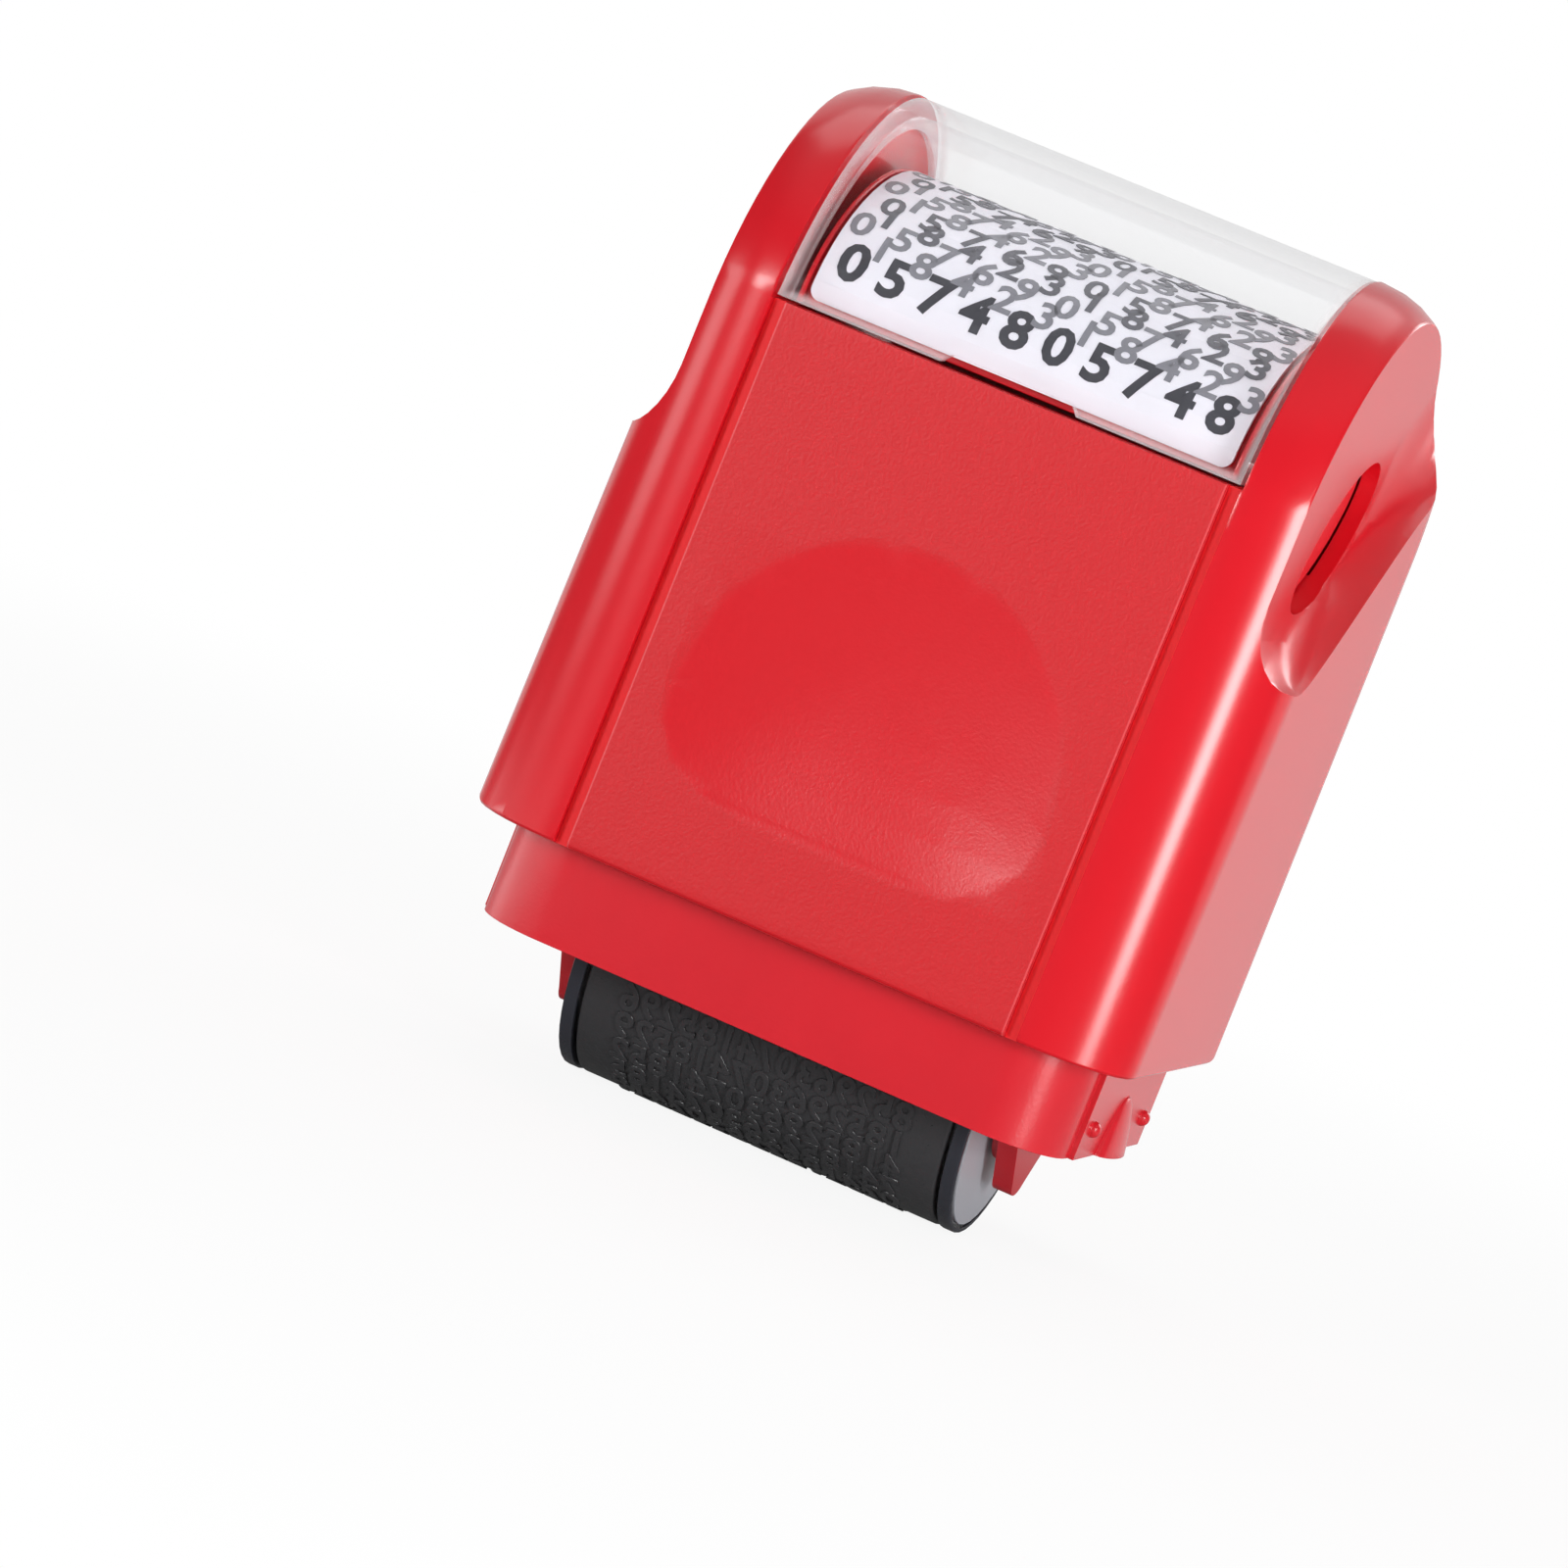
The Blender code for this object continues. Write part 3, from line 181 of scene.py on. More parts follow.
def between(tree, value, low, high, from_value, to_value):
    """A smooth step of a value from one level to another."""
    node = tree.nodes.new('ShaderNodeMapRange')
    node.interpolation_type = 'SMOOTHSTEP'
    feed(tree, node.inputs["Value"], value)
    node.inputs["From Min"].default_value = low
    node.inputs["From Max"].default_value = high
    node.inputs["To Min"].default_value = from_value
    node.inputs["To Max"].default_value = to_value
    return node.outputs[0]


def mixed(tree, factor, first, second):
    """A colour between two, each a socket or a colour."""
    node = tree.nodes.new('ShaderNodeMix')
    node.data_type = 'RGBA'
    feed(tree, node.inputs["Factor"], factor)
    feed(tree, node.inputs["A"], first)
    feed(tree, node.inputs["B"], second)
    return node.outputs["Result"]


def noise(tree, scale, detail=2):
    """A noise that stays with the piece."""
    place = tree.nodes.new('ShaderNodeTexCoord')
    node = tree.nodes.new('ShaderNodeTexNoise')
    node.inputs["Scale"].default_value = scale
    node.inputs["Detail"].default_value = detail
    tree.links.new(place.outputs["Object"], node.inputs["Vector"])
    return node.outputs["Fac"]


def axes_of(tree, output="Object"):
    """X, Y and Z of the shaded point on the piece, or of the direction looked in."""
    place = tree.nodes.new('ShaderNodeTexCoord')
    node = tree.nodes.new('ShaderNodeSeparateXYZ')
    tree.links.new(place.outputs[output], node.inputs["Vector"])
    return node.outputs


def bumped(tree, shader, height, strength, distance):
    """A bump from a height, on the shader's normal."""
    bump = tree.nodes.new('ShaderNodeBump')
    bump.inputs["Strength"].default_value = strength
    bump.inputs["Distance"].default_value = distance
    tree.links.new(height, bump.inputs["Height"])
    tree.links.new(bump.outputs["Normal"], shader.inputs["Normal"])


def round_direction(point):
    """The direction that an upright corner of the housing faces at a point, or None where the
    point isn't on one."""
    depth = FRONT_DEPTH - ROUND_FOOT + (ROUND_LEAN - PANEL_LEAN) * point.z
    out_x = (abs(point.x) - ROUND_AXIS) / ROUND_WIDTH
    out_y = (abs(point.y) - ROUND_FOOT + ROUND_LEAN * point.z) / depth
    if min(out_x, out_y) < -ROUND_SLACK or abs(math.hypot(out_x, out_y) - 1) > ROUND_MISS:
        return None
    lean = ROUND_LEAN - (ROUND_LEAN - PANEL_LEAN) * out_y
    return Vector((math.copysign(out_x / ROUND_WIDTH, point.x),
                   math.copysign(out_y / depth, point.y), lean * out_y / depth)).normalized()


housing = soft_edged("housing", "moulded_housing", "stamp_body", HOUSING_EDGE,
                     HOUSING_CUTS)

# The upright corners shade as true rounds: a face's corner that lies on one of them takes the
# round's own direction there, and the rest keep theirs.
bpy.context.view_layer.objects.active = housing
bpy.ops.object.modifier_apply(modifier="Flat faces stay flat")
mesh = housing.data
shading = [corner.vector.copy() for corner in mesh.corner_normals]
for corner in mesh.loops:
    facing = round_direction(mesh.vertices[corner.vertex_index].co)
    if facing is not None and facing.dot(shading[corner.index]) > ROUND_MATCH:
        shading[corner.index] = facing
mesh.normals_split_custom_set(shading)

glossy_red, tree, shader = painted("housing_gloss_and_grain")
shader.inputs["IOR"].default_value = PLASTIC_IOR
axes = axes_of(tree)
across = reckon(tree, 'ABSOLUTE', axes["X"])
depth = reckon(tree, 'ABSOLUTE', axes["Y"])
surface = reckon(tree, 'SUBTRACT', FRONT_DEPTH, reckon(tree, 'MULTIPLY', axes["Z"], PANEL_LEAN))
sunk = reckon(tree, 'SUBTRACT', surface, depth)
on_panel = reckon(tree, 'MULTIPLY',
                  between(tree, across, PANEL_EDGE - EDGE_FADE, PANEL_EDGE + EDGE_FADE, 1, 0),
                  between(tree, depth, PANEL_DEPTH - DEPTH_FADE, PANEL_DEPTH, 0, 1))
matte = reckon(tree, 'MULTIPLY', on_panel, between(tree, sunk, *DIMPLE_SKIN, 1, DIMPLE_MATTE))
# The floors of the sunk lines: painted a deeper red for their shade, and given a roughness of
# their own.
groove = reckon(tree, 'MULTIPLY',
                between(tree, across, GROOVE_SPAN[0] - GROOVE_FADE, GROOVE_SPAN[0], 0, 1),
                between(tree, across, GROOVE_SPAN[1], GROOVE_SPAN[1] + GROOVE_FADE, 1, 0))
groove = reckon(tree, 'MULTIPLY', groove,
                between(tree, sunk, GROOVE_FLOOR / 2, GROOVE_FLOOR, 0, 1))
# A painted highlight: a thin paler line along each panel's edge, inside the sunk lines.
rim = reckon(tree, 'MULTIPLY', on_panel,
             between(tree, across, PANEL_EDGE - PANEL_HIGHLIGHT_SPAN[0], PANEL_EDGE - PANEL_HIGHLIGHT_SPAN[1], 0, 1))

colour = mixed(tree, matte, HOUSING_RED, PANEL_RED)
# The floors of the sunk lines take their painted shade.
colour = mixed(tree, groove, colour, GROOVE_SHADE_RED)
# The panels' edges take their painted highlight.
colour = mixed(tree, rim, colour, PANEL_HIGHLIGHT_RED)
feed(tree, shader.inputs["Base Color"], colour)
rough = reckon(tree, 'MAXIMUM', between(tree, matte, 0, 1, HOUSING_ROUGHNESS, PANEL_ROUGHNESS),
               reckon(tree, 'MULTIPLY', groove, GROOVE_ROUGHNESS))
feed(tree, shader.inputs["Roughness"], rough)
grain = reckon(tree, 'MULTIPLY', noise(tree, HOUSING_GRAIN_SCALE, GRAIN_DETAIL),
               between(tree, matte, 0, 1, *HOUSING_GRAIN))
wave = reckon(tree, 'MULTIPLY', noise(tree, WAVE_SCALE), WAVE_HEIGHT)
bumped(tree, shader, reckon(tree, 'ADD', grain, wave), *HOUSING_BUMP)
housing.data.materials.append(glossy_red)

# Index window
# A thin arch of clear styrene that snaps in between the cheeks over the label. A rib runs
# along each end, and the front foot has a notch for a fingernail.
WINDOW_EDGE = 0.00012
WINDOW_FOOT = 0.0569
WINDOW_END = 0.0172
RIM_WIDTH = 0.0009
CLEAR = (0.97, 0.97, 0.99, 1)
# A pale pink painted on the window's rim, standing in for the red parts that show through its
# edges.
RIM_REFLECTION_PINK = (0.96, 0.88, 0.90, 1)
RIM_TRANSMISSION = 0.35
RIM_ALPHA = 0.42
SLANT_SPAN = (0.45, 0.95)
SLANT_ALPHA = (0.20, 0.75)
GLOSS_ROUGHNESS = 0.12
GLOSS_IOR = 1.55

window = soft_edged("index_window", "clear_window", "window", WINDOW_EDGE)
clear, tree, shader = painted("clear_styrene")
shader.inputs["Roughness"].default_value = 0.0
shader.inputs["IOR"].default_value = 1.0
shader.inputs["Coat Weight"].default_value = 1.0
shader.inputs["Coat Roughness"].default_value = GLOSS_ROUGHNESS
shader.inputs["Coat IOR"].default_value = GLOSS_IOR
axes = axes_of(tree)
across = reckon(tree, 'ABSOLUTE', axes["X"])
# Along the foot and the ends the window is made less clear and painted pale pink. The pink is a
# painted reflection of the red bed and housing seen through these edges.
rim = reckon(tree, 'MAXIMUM',
             between(tree, axes["Z"], WINDOW_FOOT, WINDOW_FOOT + RIM_WIDTH, 1, 0),
             between(tree, across, WINDOW_END - RIM_WIDTH, WINDOW_END, 0, 1))
slant = tree.nodes.new('ShaderNodeLayerWeight')
slant.inputs["Blend"].default_value = 0.5
feed(tree, shader.inputs["Base Color"], mixed(tree, rim, CLEAR, RIM_REFLECTION_PINK))
feed(tree, shader.inputs["Transmission Weight"],
     between(tree, rim, 0, 1, 1.0, RIM_TRANSMISSION))
feed(tree, shader.inputs["Alpha"],
     reckon(tree, 'MAXIMUM', between(tree, slant.outputs["Facing"], *SLANT_SPAN, *SLANT_ALPHA),
            reckon(tree, 'MULTIPLY', rim, RIM_ALPHA)))
window.data.materials.append(clear)

# Label bed
# The red arch under the label, moulded like the housing, with a low raised edge at each end
# that keeps the card from sliding sideways.
BED_EDGE = 0.00012
BED_ROUGHNESS = 0.25
TONE_SPREAD = (0.93, 1.05)   # the darkest and the lightest tone of a moulded colour
TONE_SCALE = 140


def moulded(name, colour, roughness, grain_size=0.0002, grain=0.1, uneven=0.06):
    """A moulded plastic with a fine grain and slightly uneven gloss and colour."""
    material, tree, shader = painted(name)
    shader.inputs["IOR"].default_value = PLASTIC_IOR
    dark, light = (tuple(min(1, share * part) for part in colour[:3]) + (1,)
                   for share in TONE_SPREAD)
    feed(tree, shader.inputs["Base Color"], mixed(tree, noise(tree, TONE_SCALE), dark, light))
    fine = noise(tree, 1 / grain_size, GRAIN_DETAIL)
    gloss = tree.nodes.new('ShaderNodeMapRange')
    gloss.inputs["To Min"].default_value = roughness * (1 - uneven)
    gloss.inputs["To Max"].default_value = roughness * (1 + uneven)
    tree.links.new(fine, gloss.inputs["Value"])
    tree.links.new(gloss.outputs["Result"], shader.inputs["Roughness"])
    bumped(tree, shader, fine, grain, grain_size)
    return material


bed = soft_edged("label_bed", "moulded_label_bed", "stamp_body", BED_EDGE)
bed.data.materials.append(moulded("bed_red", HOUSING_RED, BED_ROUGHNESS, grain=0.04))

# Label card
# A white card bent over the bed, printed with a sample of the pattern that the die rolls out:
# rows of plain numbers over each other, the lowest row the darkest.
CARD_WHITE = (0.86, 0.85, 0.92, 1)
CARD_ROUGHNESS = 0.5
CARD_FOOT = 0.05725
CARD_HALF_DEPTH = 0.0159
CARD_RISE = 0.01015
CARD_FACETS = 24
PRINT_COLUMNS = 10
PRINT_PITCH = 0.00308
PRINT_ROW_PITCH = 0.00150
PRINT_FIRST_ROW = 0.0021
PRINT_ROW_GAP = 0.0006       # between the lowest row and the ones above it
PRINT_SHARE = 0.44           # of the card's length, from its front edge
PRINT_SHIFTS = (0, 0.42, -0.30, 0.15)
PRINT_THICKNESS = 0.00002
PRINT_LIFT = (1.2, 0.4)      # of a layer above the card and above the last one, in thicknesses
LOWEST_NUMBERS = (0, 5, 7, 4, 8)
ROW_NUMBERS = ((0, 5, 7, 6, 9), (1, 8, 4, 2, 3))
ROW_TONES = (1, 1, 1, 2, 2)
BIG_DIGIT = (0.0041, 0.00013)
SMALL_DIGIT = (0.0033, 0.00008)
DIGIT_STRIPS = 6
DIGIT_HEIGHT = 0.72          # of a numeral, as a share of its size
DIGIT_WELD = 0.000001
INK_TONES = ((0.05, 0.05, 0.062, 1), (0.22, 0.22, 0.25, 1), (0.10, 0.10, 0.12, 1))
INK_ROUGHNESS = 0.45


def repaint(node, material):
    """A CAD piece that stays as it is gets a material of its own."""
    nodes[node].data.materials.clear()
    nodes[node].data.materials.append(material)


def on_arch(along, out):
    """The point at a length along the card from its front edge, and a height above it."""
    for start, end in zip(arch, arch[1:]):
        span = (end - start).length
        if along <= span or end is arch[-1]:
            way = (end - start) / span
            return start + way * along + Vector((0, -way.z, way.y)) * out
        along -= span


def digits(size, weight, thickness, name):
    """The ten numerals, each a solid that stands on the origin and is cut into strips so that
    it can bend."""
    made = []
    for number in range(10):
        bpy.ops.object.text_add()
        text = bpy.context.object
        text.name = name + str(number)
        text.data.body = str(number)
        text.data.size = size
        text.data.align_x = 'CENTER'
        text.data.resolution_u = 3
        text.data.offset = weight
        text.data.extrude = thickness / 2
        bpy.ops.object.convert(target='MESH')
        bpy.ops.object.mode_set(mode='EDIT')
        bpy.ops.mesh.select_all(action='SELECT')
        bpy.ops.mesh.remove_doubles(threshold=DIGIT_WELD)
        for cut in range(1, DIGIT_STRIPS):
            bpy.ops.mesh.select_all(action='SELECT')
            bpy.ops.mesh.bisect(plane_co=(0, size * DIGIT_HEIGHT * cut / DIGIT_STRIPS, 0),
                                plane_no=(0, 1, 0))
        bpy.ops.object.mode_set(mode='OBJECT')
        made.append(bpy.context.object)
        made[-1].select_set(False)
    return made


def copied(shape):
    """A copy of a numeral, with its own mesh."""
    mark = shape.copy()
    mark.data = shape.data.copy()
    bpy.context.scene.collection.objects.link(mark)
    return mark


def joined(pieces, name):
    """Pieces made into one object."""
    for piece in pieces:
        piece.select_set(True)
    bpy.context.view_layer.objects.active = pieces[0]
    bpy.ops.object.join()
    made = bpy.context.object
    made.name = name
    made.data.name = name
    made.data.materials.clear()
    made.select_set(False)
    return made


repaint("label_card", moulded("label_stock", CARD_WHITE, CARD_ROUGHNESS,
                              grain_size=0.00008, grain=0.05))
arch = []
for step in range(CARD_FACETS + 1):
    angle = math.pi * step / CARD_FACETS
    arch.append(Vector((0, -CARD_HALF_DEPTH * math.cos(angle),
                        CARD_FOOT + CARD_RISE * math.sin(angle))))
arch_length = sum((end - start).length for start, end in zip(arch, arch[1:]))

big_digits = digits(*BIG_DIGIT, PRINT_THICKNESS, "big_")
small_digits = digits(*SMALL_DIGIT, PRINT_THICKNESS, "small_")
printed = ([], [], [])
for row in range(int(arch_length * PRINT_SHARE / PRINT_ROW_PITCH)):
    shapes, numbers, tone = big_digits, LOWEST_NUMBERS, 0
    base = PRINT_FIRST_ROW + row * PRINT_ROW_PITCH
    if row:
        shapes, numbers, tone = small_digits, ROW_NUMBERS[row % 2], ROW_TONES[row % 5]
        base += PRINT_ROW_GAP
    lift = PRINT_THICKNESS * (PRINT_LIFT[0] + tone * PRINT_LIFT[1])
    for column in range(PRINT_COLUMNS):
        mark = copied(shapes[numbers[column % 5]])
        middle = (column - (PRINT_COLUMNS - 1) / 2 + PRINT_SHIFTS[row % 4]) * PRINT_PITCH
        for vert in mark.data.vertices:
            spot = on_arch(base + vert.co.y, vert.co.z + lift)
            vert.co = (middle + vert.co.x, spot.y, spot.z)
        printed[tone].append(mark)
for marks, name, colour in zip(printed, ("print_dark", "print_light", "print_grey"), INK_TONES):
    layer = joined(marks, name)
    layer.data.materials.append(moulded(name + "_ink", colour, INK_ROUGHNESS, grain=0.02))
    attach(layer, "stamp_body")
for shape in big_digits + small_digits:
    bpy.data.objects.remove(shape)

# Base frame
# The skirt below the housing, moulded in a satin red. Side pads with small bumps and a wedge
# face left and right, and ribs inside it guide the cartridge.
BASE_RED = (0.65, 0.013, 0.024, 1)
BASE_ROUGHNESS = 0.26
BASE_EDGE = 0.00018
BASE_CUTS = [0.0105 + 0.0018 * step for step in range(6)]

base = soft_edged("base_frame", "moulded_base_frame", "stamp_body", BASE_EDGE,
                  BASE_CUTS)
base.data.materials.append(moulded("satin_red", BASE_RED, BASE_ROUGHNESS, grain=0.06))

# Latch tongues
# Two springy tongues of red plastic behind the cheeks, whose noses fill the eyes and are
# pressed to free the base frame.
LATCH_RED = (0.80, 0.010, 0.022, 1)
LATCH_ROUGHNESS = 0.55
SMALL_EDGE = 0.00015

for side, body in (("left", "left_latch"), ("right", "right_latch")):
    tongue = soft_edged("latch_tongue_" + side, "moulded_latch_" + side, body,
                        SMALL_EDGE)
    tongue.data.materials.append(moulded("latch_red_" + side, LATCH_RED, LATCH_ROUGHNESS,
                                         grain=0.05))

# Cartridge
# The pull-out carriage of both rollers and the lid over its ink roller, moulded in red.
CARTRIDGE_RED = (0.56, 0.012, 0.022, 1)
CARTRIDGE_ROUGHNESS = 0.38

for node, name in (("roller_carriage", "moulded_carriage"), ("cartridge_lid", "moulded_lid")):
    piece = soft_edged(node, name, "cartridge", SMALL_EDGE)
    piece.data.materials.append(moulded(name + "_red", CARTRIDGE_RED, CARTRIDGE_ROUGHNESS,
                                        grain=0.06))

# Axles
# Two ground steel pins with short chamfers, pressed into the carriage's side plates.
STEEL = (0.60, 0.60, 0.62, 1)
STEEL_ROUGHNESS = 0.28

for node, name in (("die_axle", "die_pin"), ("ink_axle", "ink_pin")):
    steel = moulded(name + "_steel", STEEL, STEEL_ROUGHNESS, grain_size=0.0003, grain=0.02)
    steel.node_tree.nodes["Principled BSDF"].inputs["Metallic"].default_value = 1.0
    repaint(node, steel)

# Rubber die
# A black rubber sleeve on the core. Plain numbers stand raised on its middle and face the
# wrong way round, as a stamp needs, and a smooth margin is left at each end.
RUBBER_BLACK = (0.046, 0.046, 0.049, 1)
RUBBER_ROUGHNESS = 0.31
SLEEVE_RADIUS = 0.01086
SLEEVE_WALL = 0.00136
SLEEVE_LENGTH = 0.0278
SLEEVE_FACETS = 160
SLEEVE_EDGE = 0.0003
SLEEVE_CREASE_ANGLE = 40
SLEEVE_SMOOTH_ANGLE = 32
AXLE_LEVEL = 0.0110
RAISED_TOP = 0.0110
RAISED_FOOT = 0.0001         # how far the numerals reach into the sleeve
RAISED_HEIGHT = RAISED_TOP - SLEEVE_RADIUS + RAISED_FOOT
RAISED_DIGIT = (0.0030, 0.00005)
DIE_ROWS = 30
DIE_COLUMNS = 15
DIE_PITCH = 0.00150
DIE_STEPS = (7, 3)           # how the numerals shift from row to row and column to column

bpy.ops.mesh.primitive_cylinder_add(vertices=SLEEVE_FACETS, radius=SLEEVE_RADIUS,
                                    depth=SLEEVE_LENGTH, end_fill_type='NOTHING',
                                    location=(0, 0, AXLE_LEVEL), rotation=(0, math.pi / 2, 0))
sleeve = bpy.context.object
bpy.ops.object.transform_apply(location=True, rotation=True, scale=True)
wall = sleeve.modifiers.new("Wall", 'SOLIDIFY')
wall.thickness = SLEEVE_WALL
wall.offset = -1
bpy.ops.object.modifier_apply(modifier=wall.name)
ends = sleeve.modifiers.new("Round ends", 'BEVEL')
ends.width = SLEEVE_EDGE
ends.segments = 3
ends.limit_method = 'ANGLE'
ends.angle_limit = math.radians(SLEEVE_CREASE_ANGLE)
bpy.ops.object.modifier_apply(modifier=ends.name)
bpy.ops.object.shade_smooth_by_angle(angle=math.radians(SLEEVE_SMOOTH_ANGLE))
sleeve.select_set(False)

die_digits = digits(*RAISED_DIGIT, RAISED_HEIGHT, "die_")
raised = []
for row in range(DIE_ROWS):
    turn = 2 * math.pi * row / DIE_ROWS
    for column in range(DIE_COLUMNS):
        mark = copied(die_digits[(row * DIE_STEPS[0] + column * DIE_STEPS[1]) % 10])
        middle = (column - (DIE_COLUMNS - 1) / 2) * DIE_PITCH
        for vert in mark.data.vertices:
            reach = RAISED_TOP - RAISED_HEIGHT / 2 + vert.co.z
            angle = turn + vert.co.y / SLEEVE_RADIUS
            vert.co = (middle - vert.co.x, -reach * math.cos(angle),
                       AXLE_LEVEL + reach * math.sin(angle))
        raised.append(mark)
raised_numbers = joined(raised, "raised_numbers")
bpy.context.view_layer.objects.active = raised_numbers
raised_numbers.select_set(True)
bpy.ops.object.mode_set(mode='EDIT')
bpy.ops.mesh.select_all(action='SELECT')
bpy.ops.mesh.normals_make_consistent(inside=False)
bpy.ops.object.mode_set(mode='OBJECT')
raised_numbers.select_set(False)
for shape in die_digits:
    bpy.data.objects.remove(shape)
die = joined([sleeve, raised_numbers], "rubber_sleeve")
die.data.materials.append(moulded("die_rubber", RUBBER_BLACK, RUBBER_ROUGHNESS,
                                  grain_size=0.0003, grain=0.15, uneven=0.25))
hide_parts("rubber_die")
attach(die, "die_roller")

# Roller core, end rings and end caps
# A pale plastic core fills the sleeve. Each end has a glossy black ring and, inside it, a grey
# disc that turns on the axle.
PALE_PLASTIC = (0.68, 0.68, 0.66, 1)
PALE_ROUGHNESS = 0.5
RING_BLACK = (0.036, 0.038, 0.048, 1)
RING_ROUGHNESS = 0.22
CAP_GREY = (0.42, 0.44, 0.48, 1)
CAP_ROUGHNESS = 0.35
ROLLER_EDGE = 0.0001

repaint("die_core", moulded("core_plastic", PALE_PLASTIC, PALE_ROUGHNESS, grain=0.05))
for side in ("left", "right"):
    ring = soft_edged("die_ring_" + side, "end_ring_" + side, "die_roller",
                      ROLLER_EDGE)
    ring.data.materials.append(moulded("ring_plastic_" + side, RING_BLACK, RING_ROUGHNESS,
                                       grain=0.04))
    cap = soft_edged("die_cap_" + side, "end_cap_" + side, "die_roller", ROLLER_EDGE)
    cap.data.materials.append(moulded("cap_plastic_" + side, CAP_GREY, CAP_ROUGHNESS,
                                      grain=0.05))

# Ink roller
# A grey felt sleeve soaked in ink, on a pale plastic core between two flanged discs.
FELT_GREY = (0.05, 0.05, 0.065, 1)
FELT_ROUGHNESS = 0.95

repaint("ink_felt", moulded("ink_felt_fibre", FELT_GREY, FELT_ROUGHNESS,
                            grain_size=0.0004, grain=0.9, uneven=0.1))
for node in ("ink_core", "ink_disc_left", "ink_disc_right"):
    repaint(node, moulded(node + "_plastic", PALE_PLASTIC, PALE_ROUGHNESS, grain=0.05))

# Floor
# A plain white floor. Glossy faces mirror it bright behind the stamp, close to its sides and in
# one patch on its left, and the stamp's shadow shows only near its foot.
FLOOR_SIZE = 8
FLOOR_WHITE = (0.92, 0.92, 0.92, 1)
FLOOR_ROUGHNESS = 0.9
BEHIND_SLOPE = 0.55
BEHIND_SPAN = (0.0, 0.06)
BEHIND_GLOW = (0.10, 0.76)
BESIDE_SPAN = (0.026, 0.045)
BESIDE_GLOW = (0, 0.50)
BESIDE_REACH = (0.016, 0.045)    # this and the next two spans are of the squared distance
PATCH_REACH = (0.028, 0.044)
SHADOW_REACH = (0.004, 0.04)
PATCH_X = (-0.090, -0.060)
PATCH_Y = (0.010, 0.040)
PATCH_GLOW = (3.4, 0)
SHADOW_SHARE = (0.9, 1.0)

bpy.ops.mesh.primitive_plane_add(size=FLOOR_SIZE, location=(0, 0, 0))
floor = bpy.context.object
floor.name = "floor"
floor.select_set(False)
floor_paint, tree, paint = painted("floor_paint")
paint.inputs["Base Color"].default_value = FLOOR_WHITE
paint.inputs["Roughness"].default_value = FLOOR_ROUGHNESS
paint.inputs["Specular IOR Level"].default_value = 0.0
axes = axes_of(tree)
sideways = reckon(tree, 'ABSOLUTE', axes["X"])
far = reckon(tree, 'ADD', reckon(tree, 'MULTIPLY', sideways, sideways),
             reckon(tree, 'MULTIPLY', axes["Y"], axes["Y"]))
behind = reckon(tree, 'SUBTRACT', axes["Y"], reckon(tree, 'MULTIPLY', sideways, BEHIND_SLOPE))
behind = between(tree, behind, *BEHIND_SPAN, *BEHIND_GLOW)
beside = reckon(tree, 'MULTIPLY', between(tree, sideways, *BESIDE_SPAN, *BESIDE_GLOW),
                between(tree, far, *BESIDE_REACH, 1, 0))
patch = reckon(tree, 'MULTIPLY', between(tree, axes["X"], *PATCH_X, *PATCH_GLOW),
               between(tree, far, *PATCH_REACH, 1, 0))
patch = reckon(tree, 'MULTIPLY', patch, between(tree, axes["Y"], *PATCH_Y, 1, 0))
mirrored = reckon(tree, 'MAXIMUM', behind, reckon(tree, 'MAXIMUM', beside, patch))

rays = tree.nodes.new('ShaderNodeLightPath').outputs
glow = tree.nodes.new('ShaderNodeEmission')
feed(tree, glow.inputs["Strength"],
     reckon(tree, 'MAXIMUM', reckon(tree, 'MULTIPLY', rays["Is Glossy Ray"], mirrored),
            rays["Is Camera Ray"]))
share = reckon(tree, 'MULTIPLY', rays["Is Camera Ray"],
               between(tree, far, *SHADOW_REACH, *SHADOW_SHARE))
blend = tree.nodes.new('ShaderNodeMixShader')
feed(tree, blend.inputs["Fac"], reckon(tree, 'MAXIMUM', share, rays["Is Glossy Ray"]))
tree.links.new(paint.outputs[0], blend.inputs[1])
tree.links.new(glow.outputs[0], blend.inputs[2])
tree.links.new(blend.outputs[0], tree.nodes["Material Output"].inputs["Surface"])
floor.data.materials.append(floor_paint)

# Surround
# White where the camera looks, and a soft grey light on everything else. Glossy faces mirror
# it bright only behind the stamp and high above it.
BACK_SPAN = (0.48, 0.60)
BACK_GLOW = (0.10, 0.80)
HIGH_SPAN = (0.55, 0.85)
HIGH_GLOW = (0.10, 0.45)
AMBIENT = 0.34

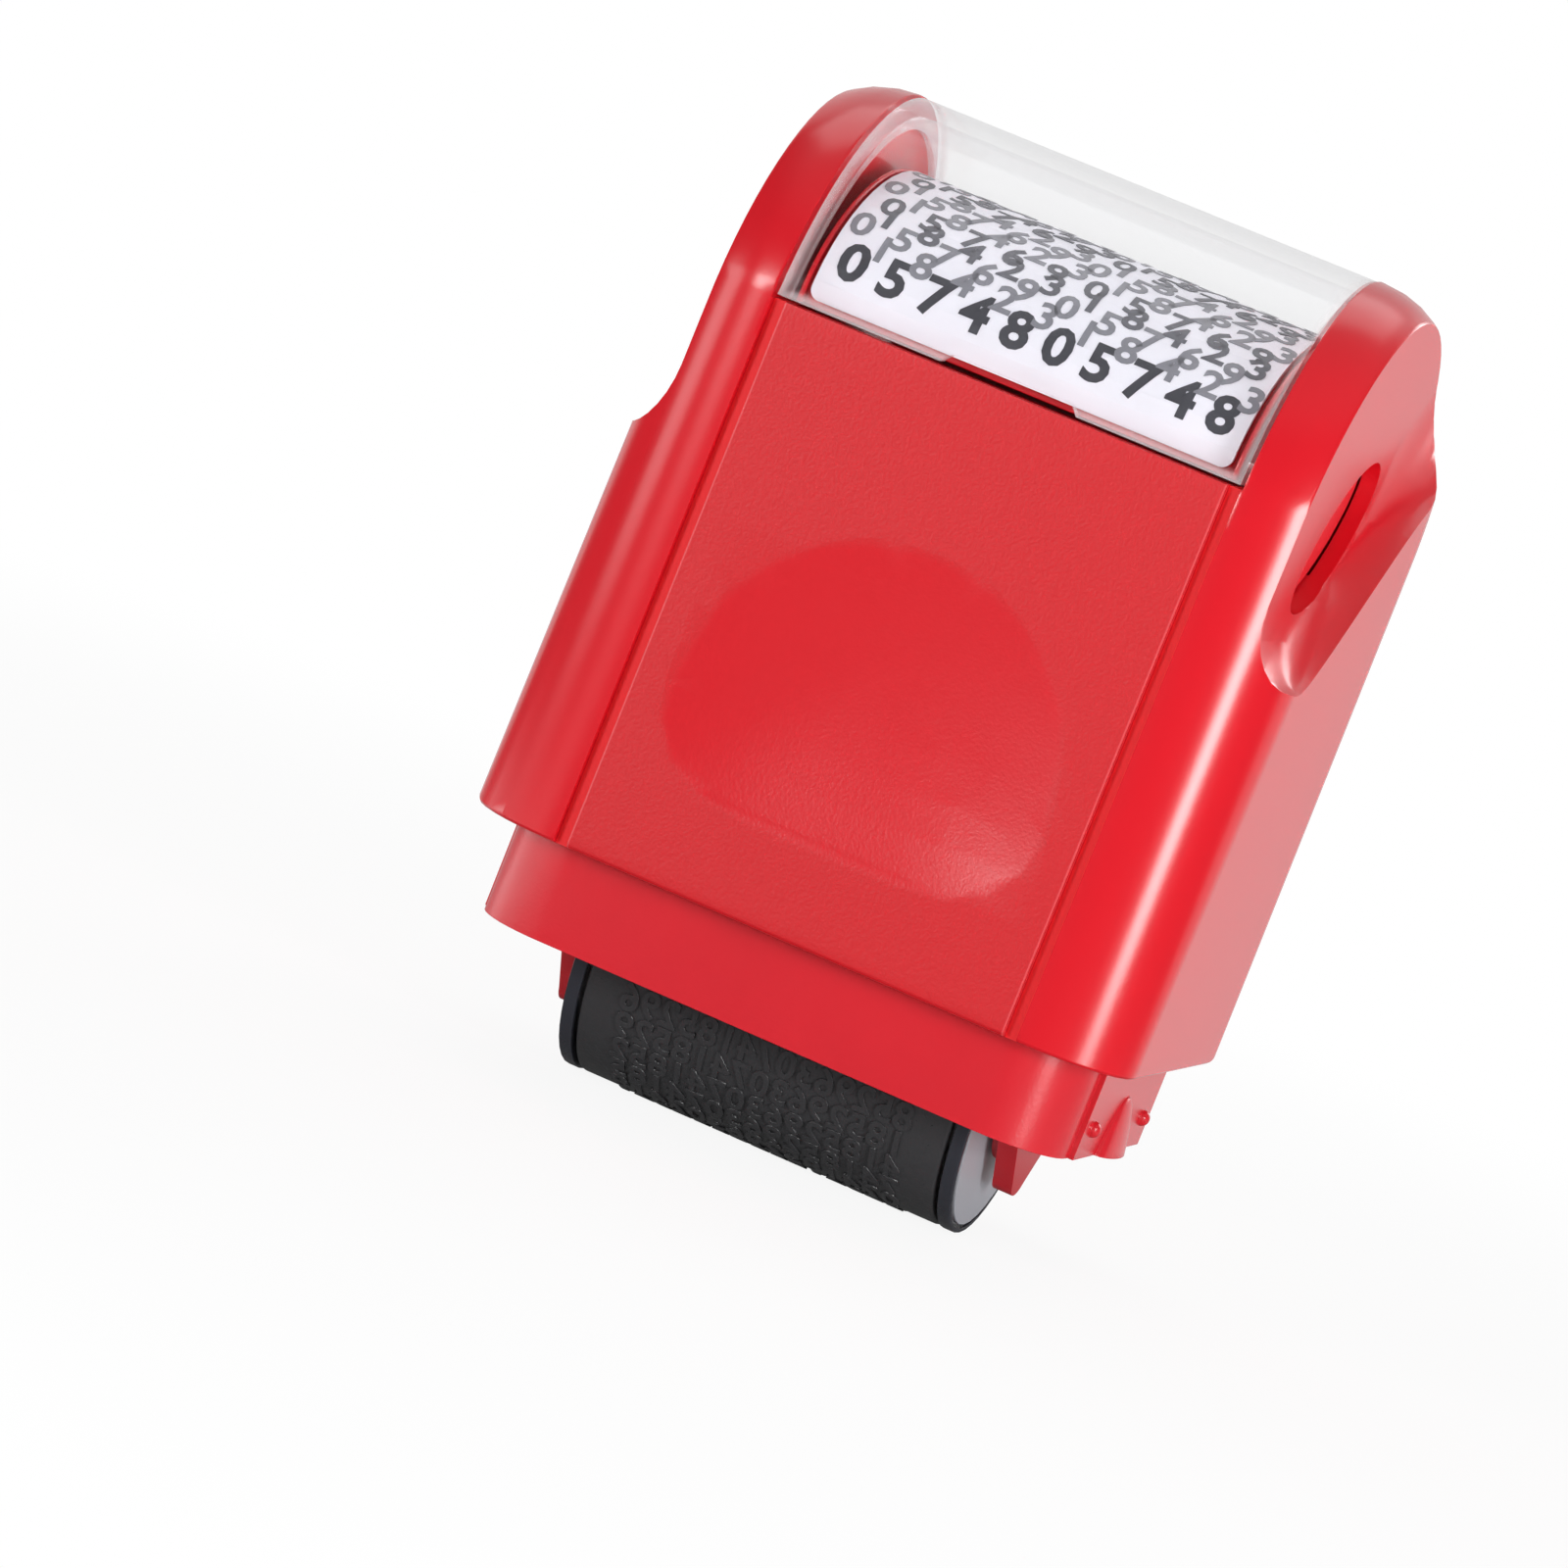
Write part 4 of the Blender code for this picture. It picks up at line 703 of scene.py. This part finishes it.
world = bpy.data.worlds.new("white_surround")
bpy.context.scene.world = world
world.use_nodes = True
tree = world.node_tree
sky = tree.nodes["Background"]
sky.inputs["Color"].default_value = (1, 1, 1, 1)
rays = tree.nodes.new('ShaderNodeLightPath').outputs
axes = axes_of(tree, "Generated")
mirrored = reckon(tree, 'MAXIMUM', between(tree, axes["Y"], *BACK_SPAN, *BACK_GLOW),
                  between(tree, axes["Z"], *HIGH_SPAN, *HIGH_GLOW))
mirrored = reckon(tree, 'MULTIPLY', rays["Is Glossy Ray"], mirrored)
seen = reckon(tree, 'MAXIMUM', rays["Is Camera Ray"], rays["Is Transmission Ray"])
lit = reckon(tree, 'SUBTRACT', 1, reckon(tree, 'MAXIMUM', seen, rays["Is Glossy Ray"]))
ambient = reckon(tree, 'MULTIPLY', lit, AMBIENT)
level = reckon(tree, 'MAXIMUM', reckon(tree, 'MAXIMUM', seen, mirrored), ambient)
feed(tree, sky.inputs["Strength"], level)

# Lamps
# Soft boxes on both sides, above, in front and behind, each with its place, its size and its
# power, aimed at the stamp's middle.
LAMPS = (("strip_right", (0.232, -0.160, 0.055), (0.058, 0.110), 0.46),
         ("strip_left", (-0.240, -0.130, 0.070), (0.08, 0.090), 0.095),
         ("soft_box_top", (-0.15, 0.34, 0.70), (0.8, 0.40), 1.5),
         ("soft_box_front", (-0.34, -0.58, 0.172), (0.15, 0.17), 1.35),
         ("soft_box_back", (0.24, 0.64, 0.30), (0.25, 0.25), 0.9))
AIM_LEVEL = 0.04

for name, spot, size, power in LAMPS:
    bpy.ops.object.light_add(type='AREA', location=spot)
    lamp = bpy.context.object
    lamp.name = name
    lamp.data.shape = 'RECTANGLE'
    lamp.data.size, lamp.data.size_y = size
    lamp.data.energy = power
    aim = Vector((0, 0, AIM_LEVEL)) - Vector(spot)
    lamp.rotation_euler = aim.to_track_quat('-Z', 'Y').to_euler()
    lamp.visible_camera = False
    lamp.select_set(False)

bpy.context.scene.view_settings.view_transform = 'Standard'
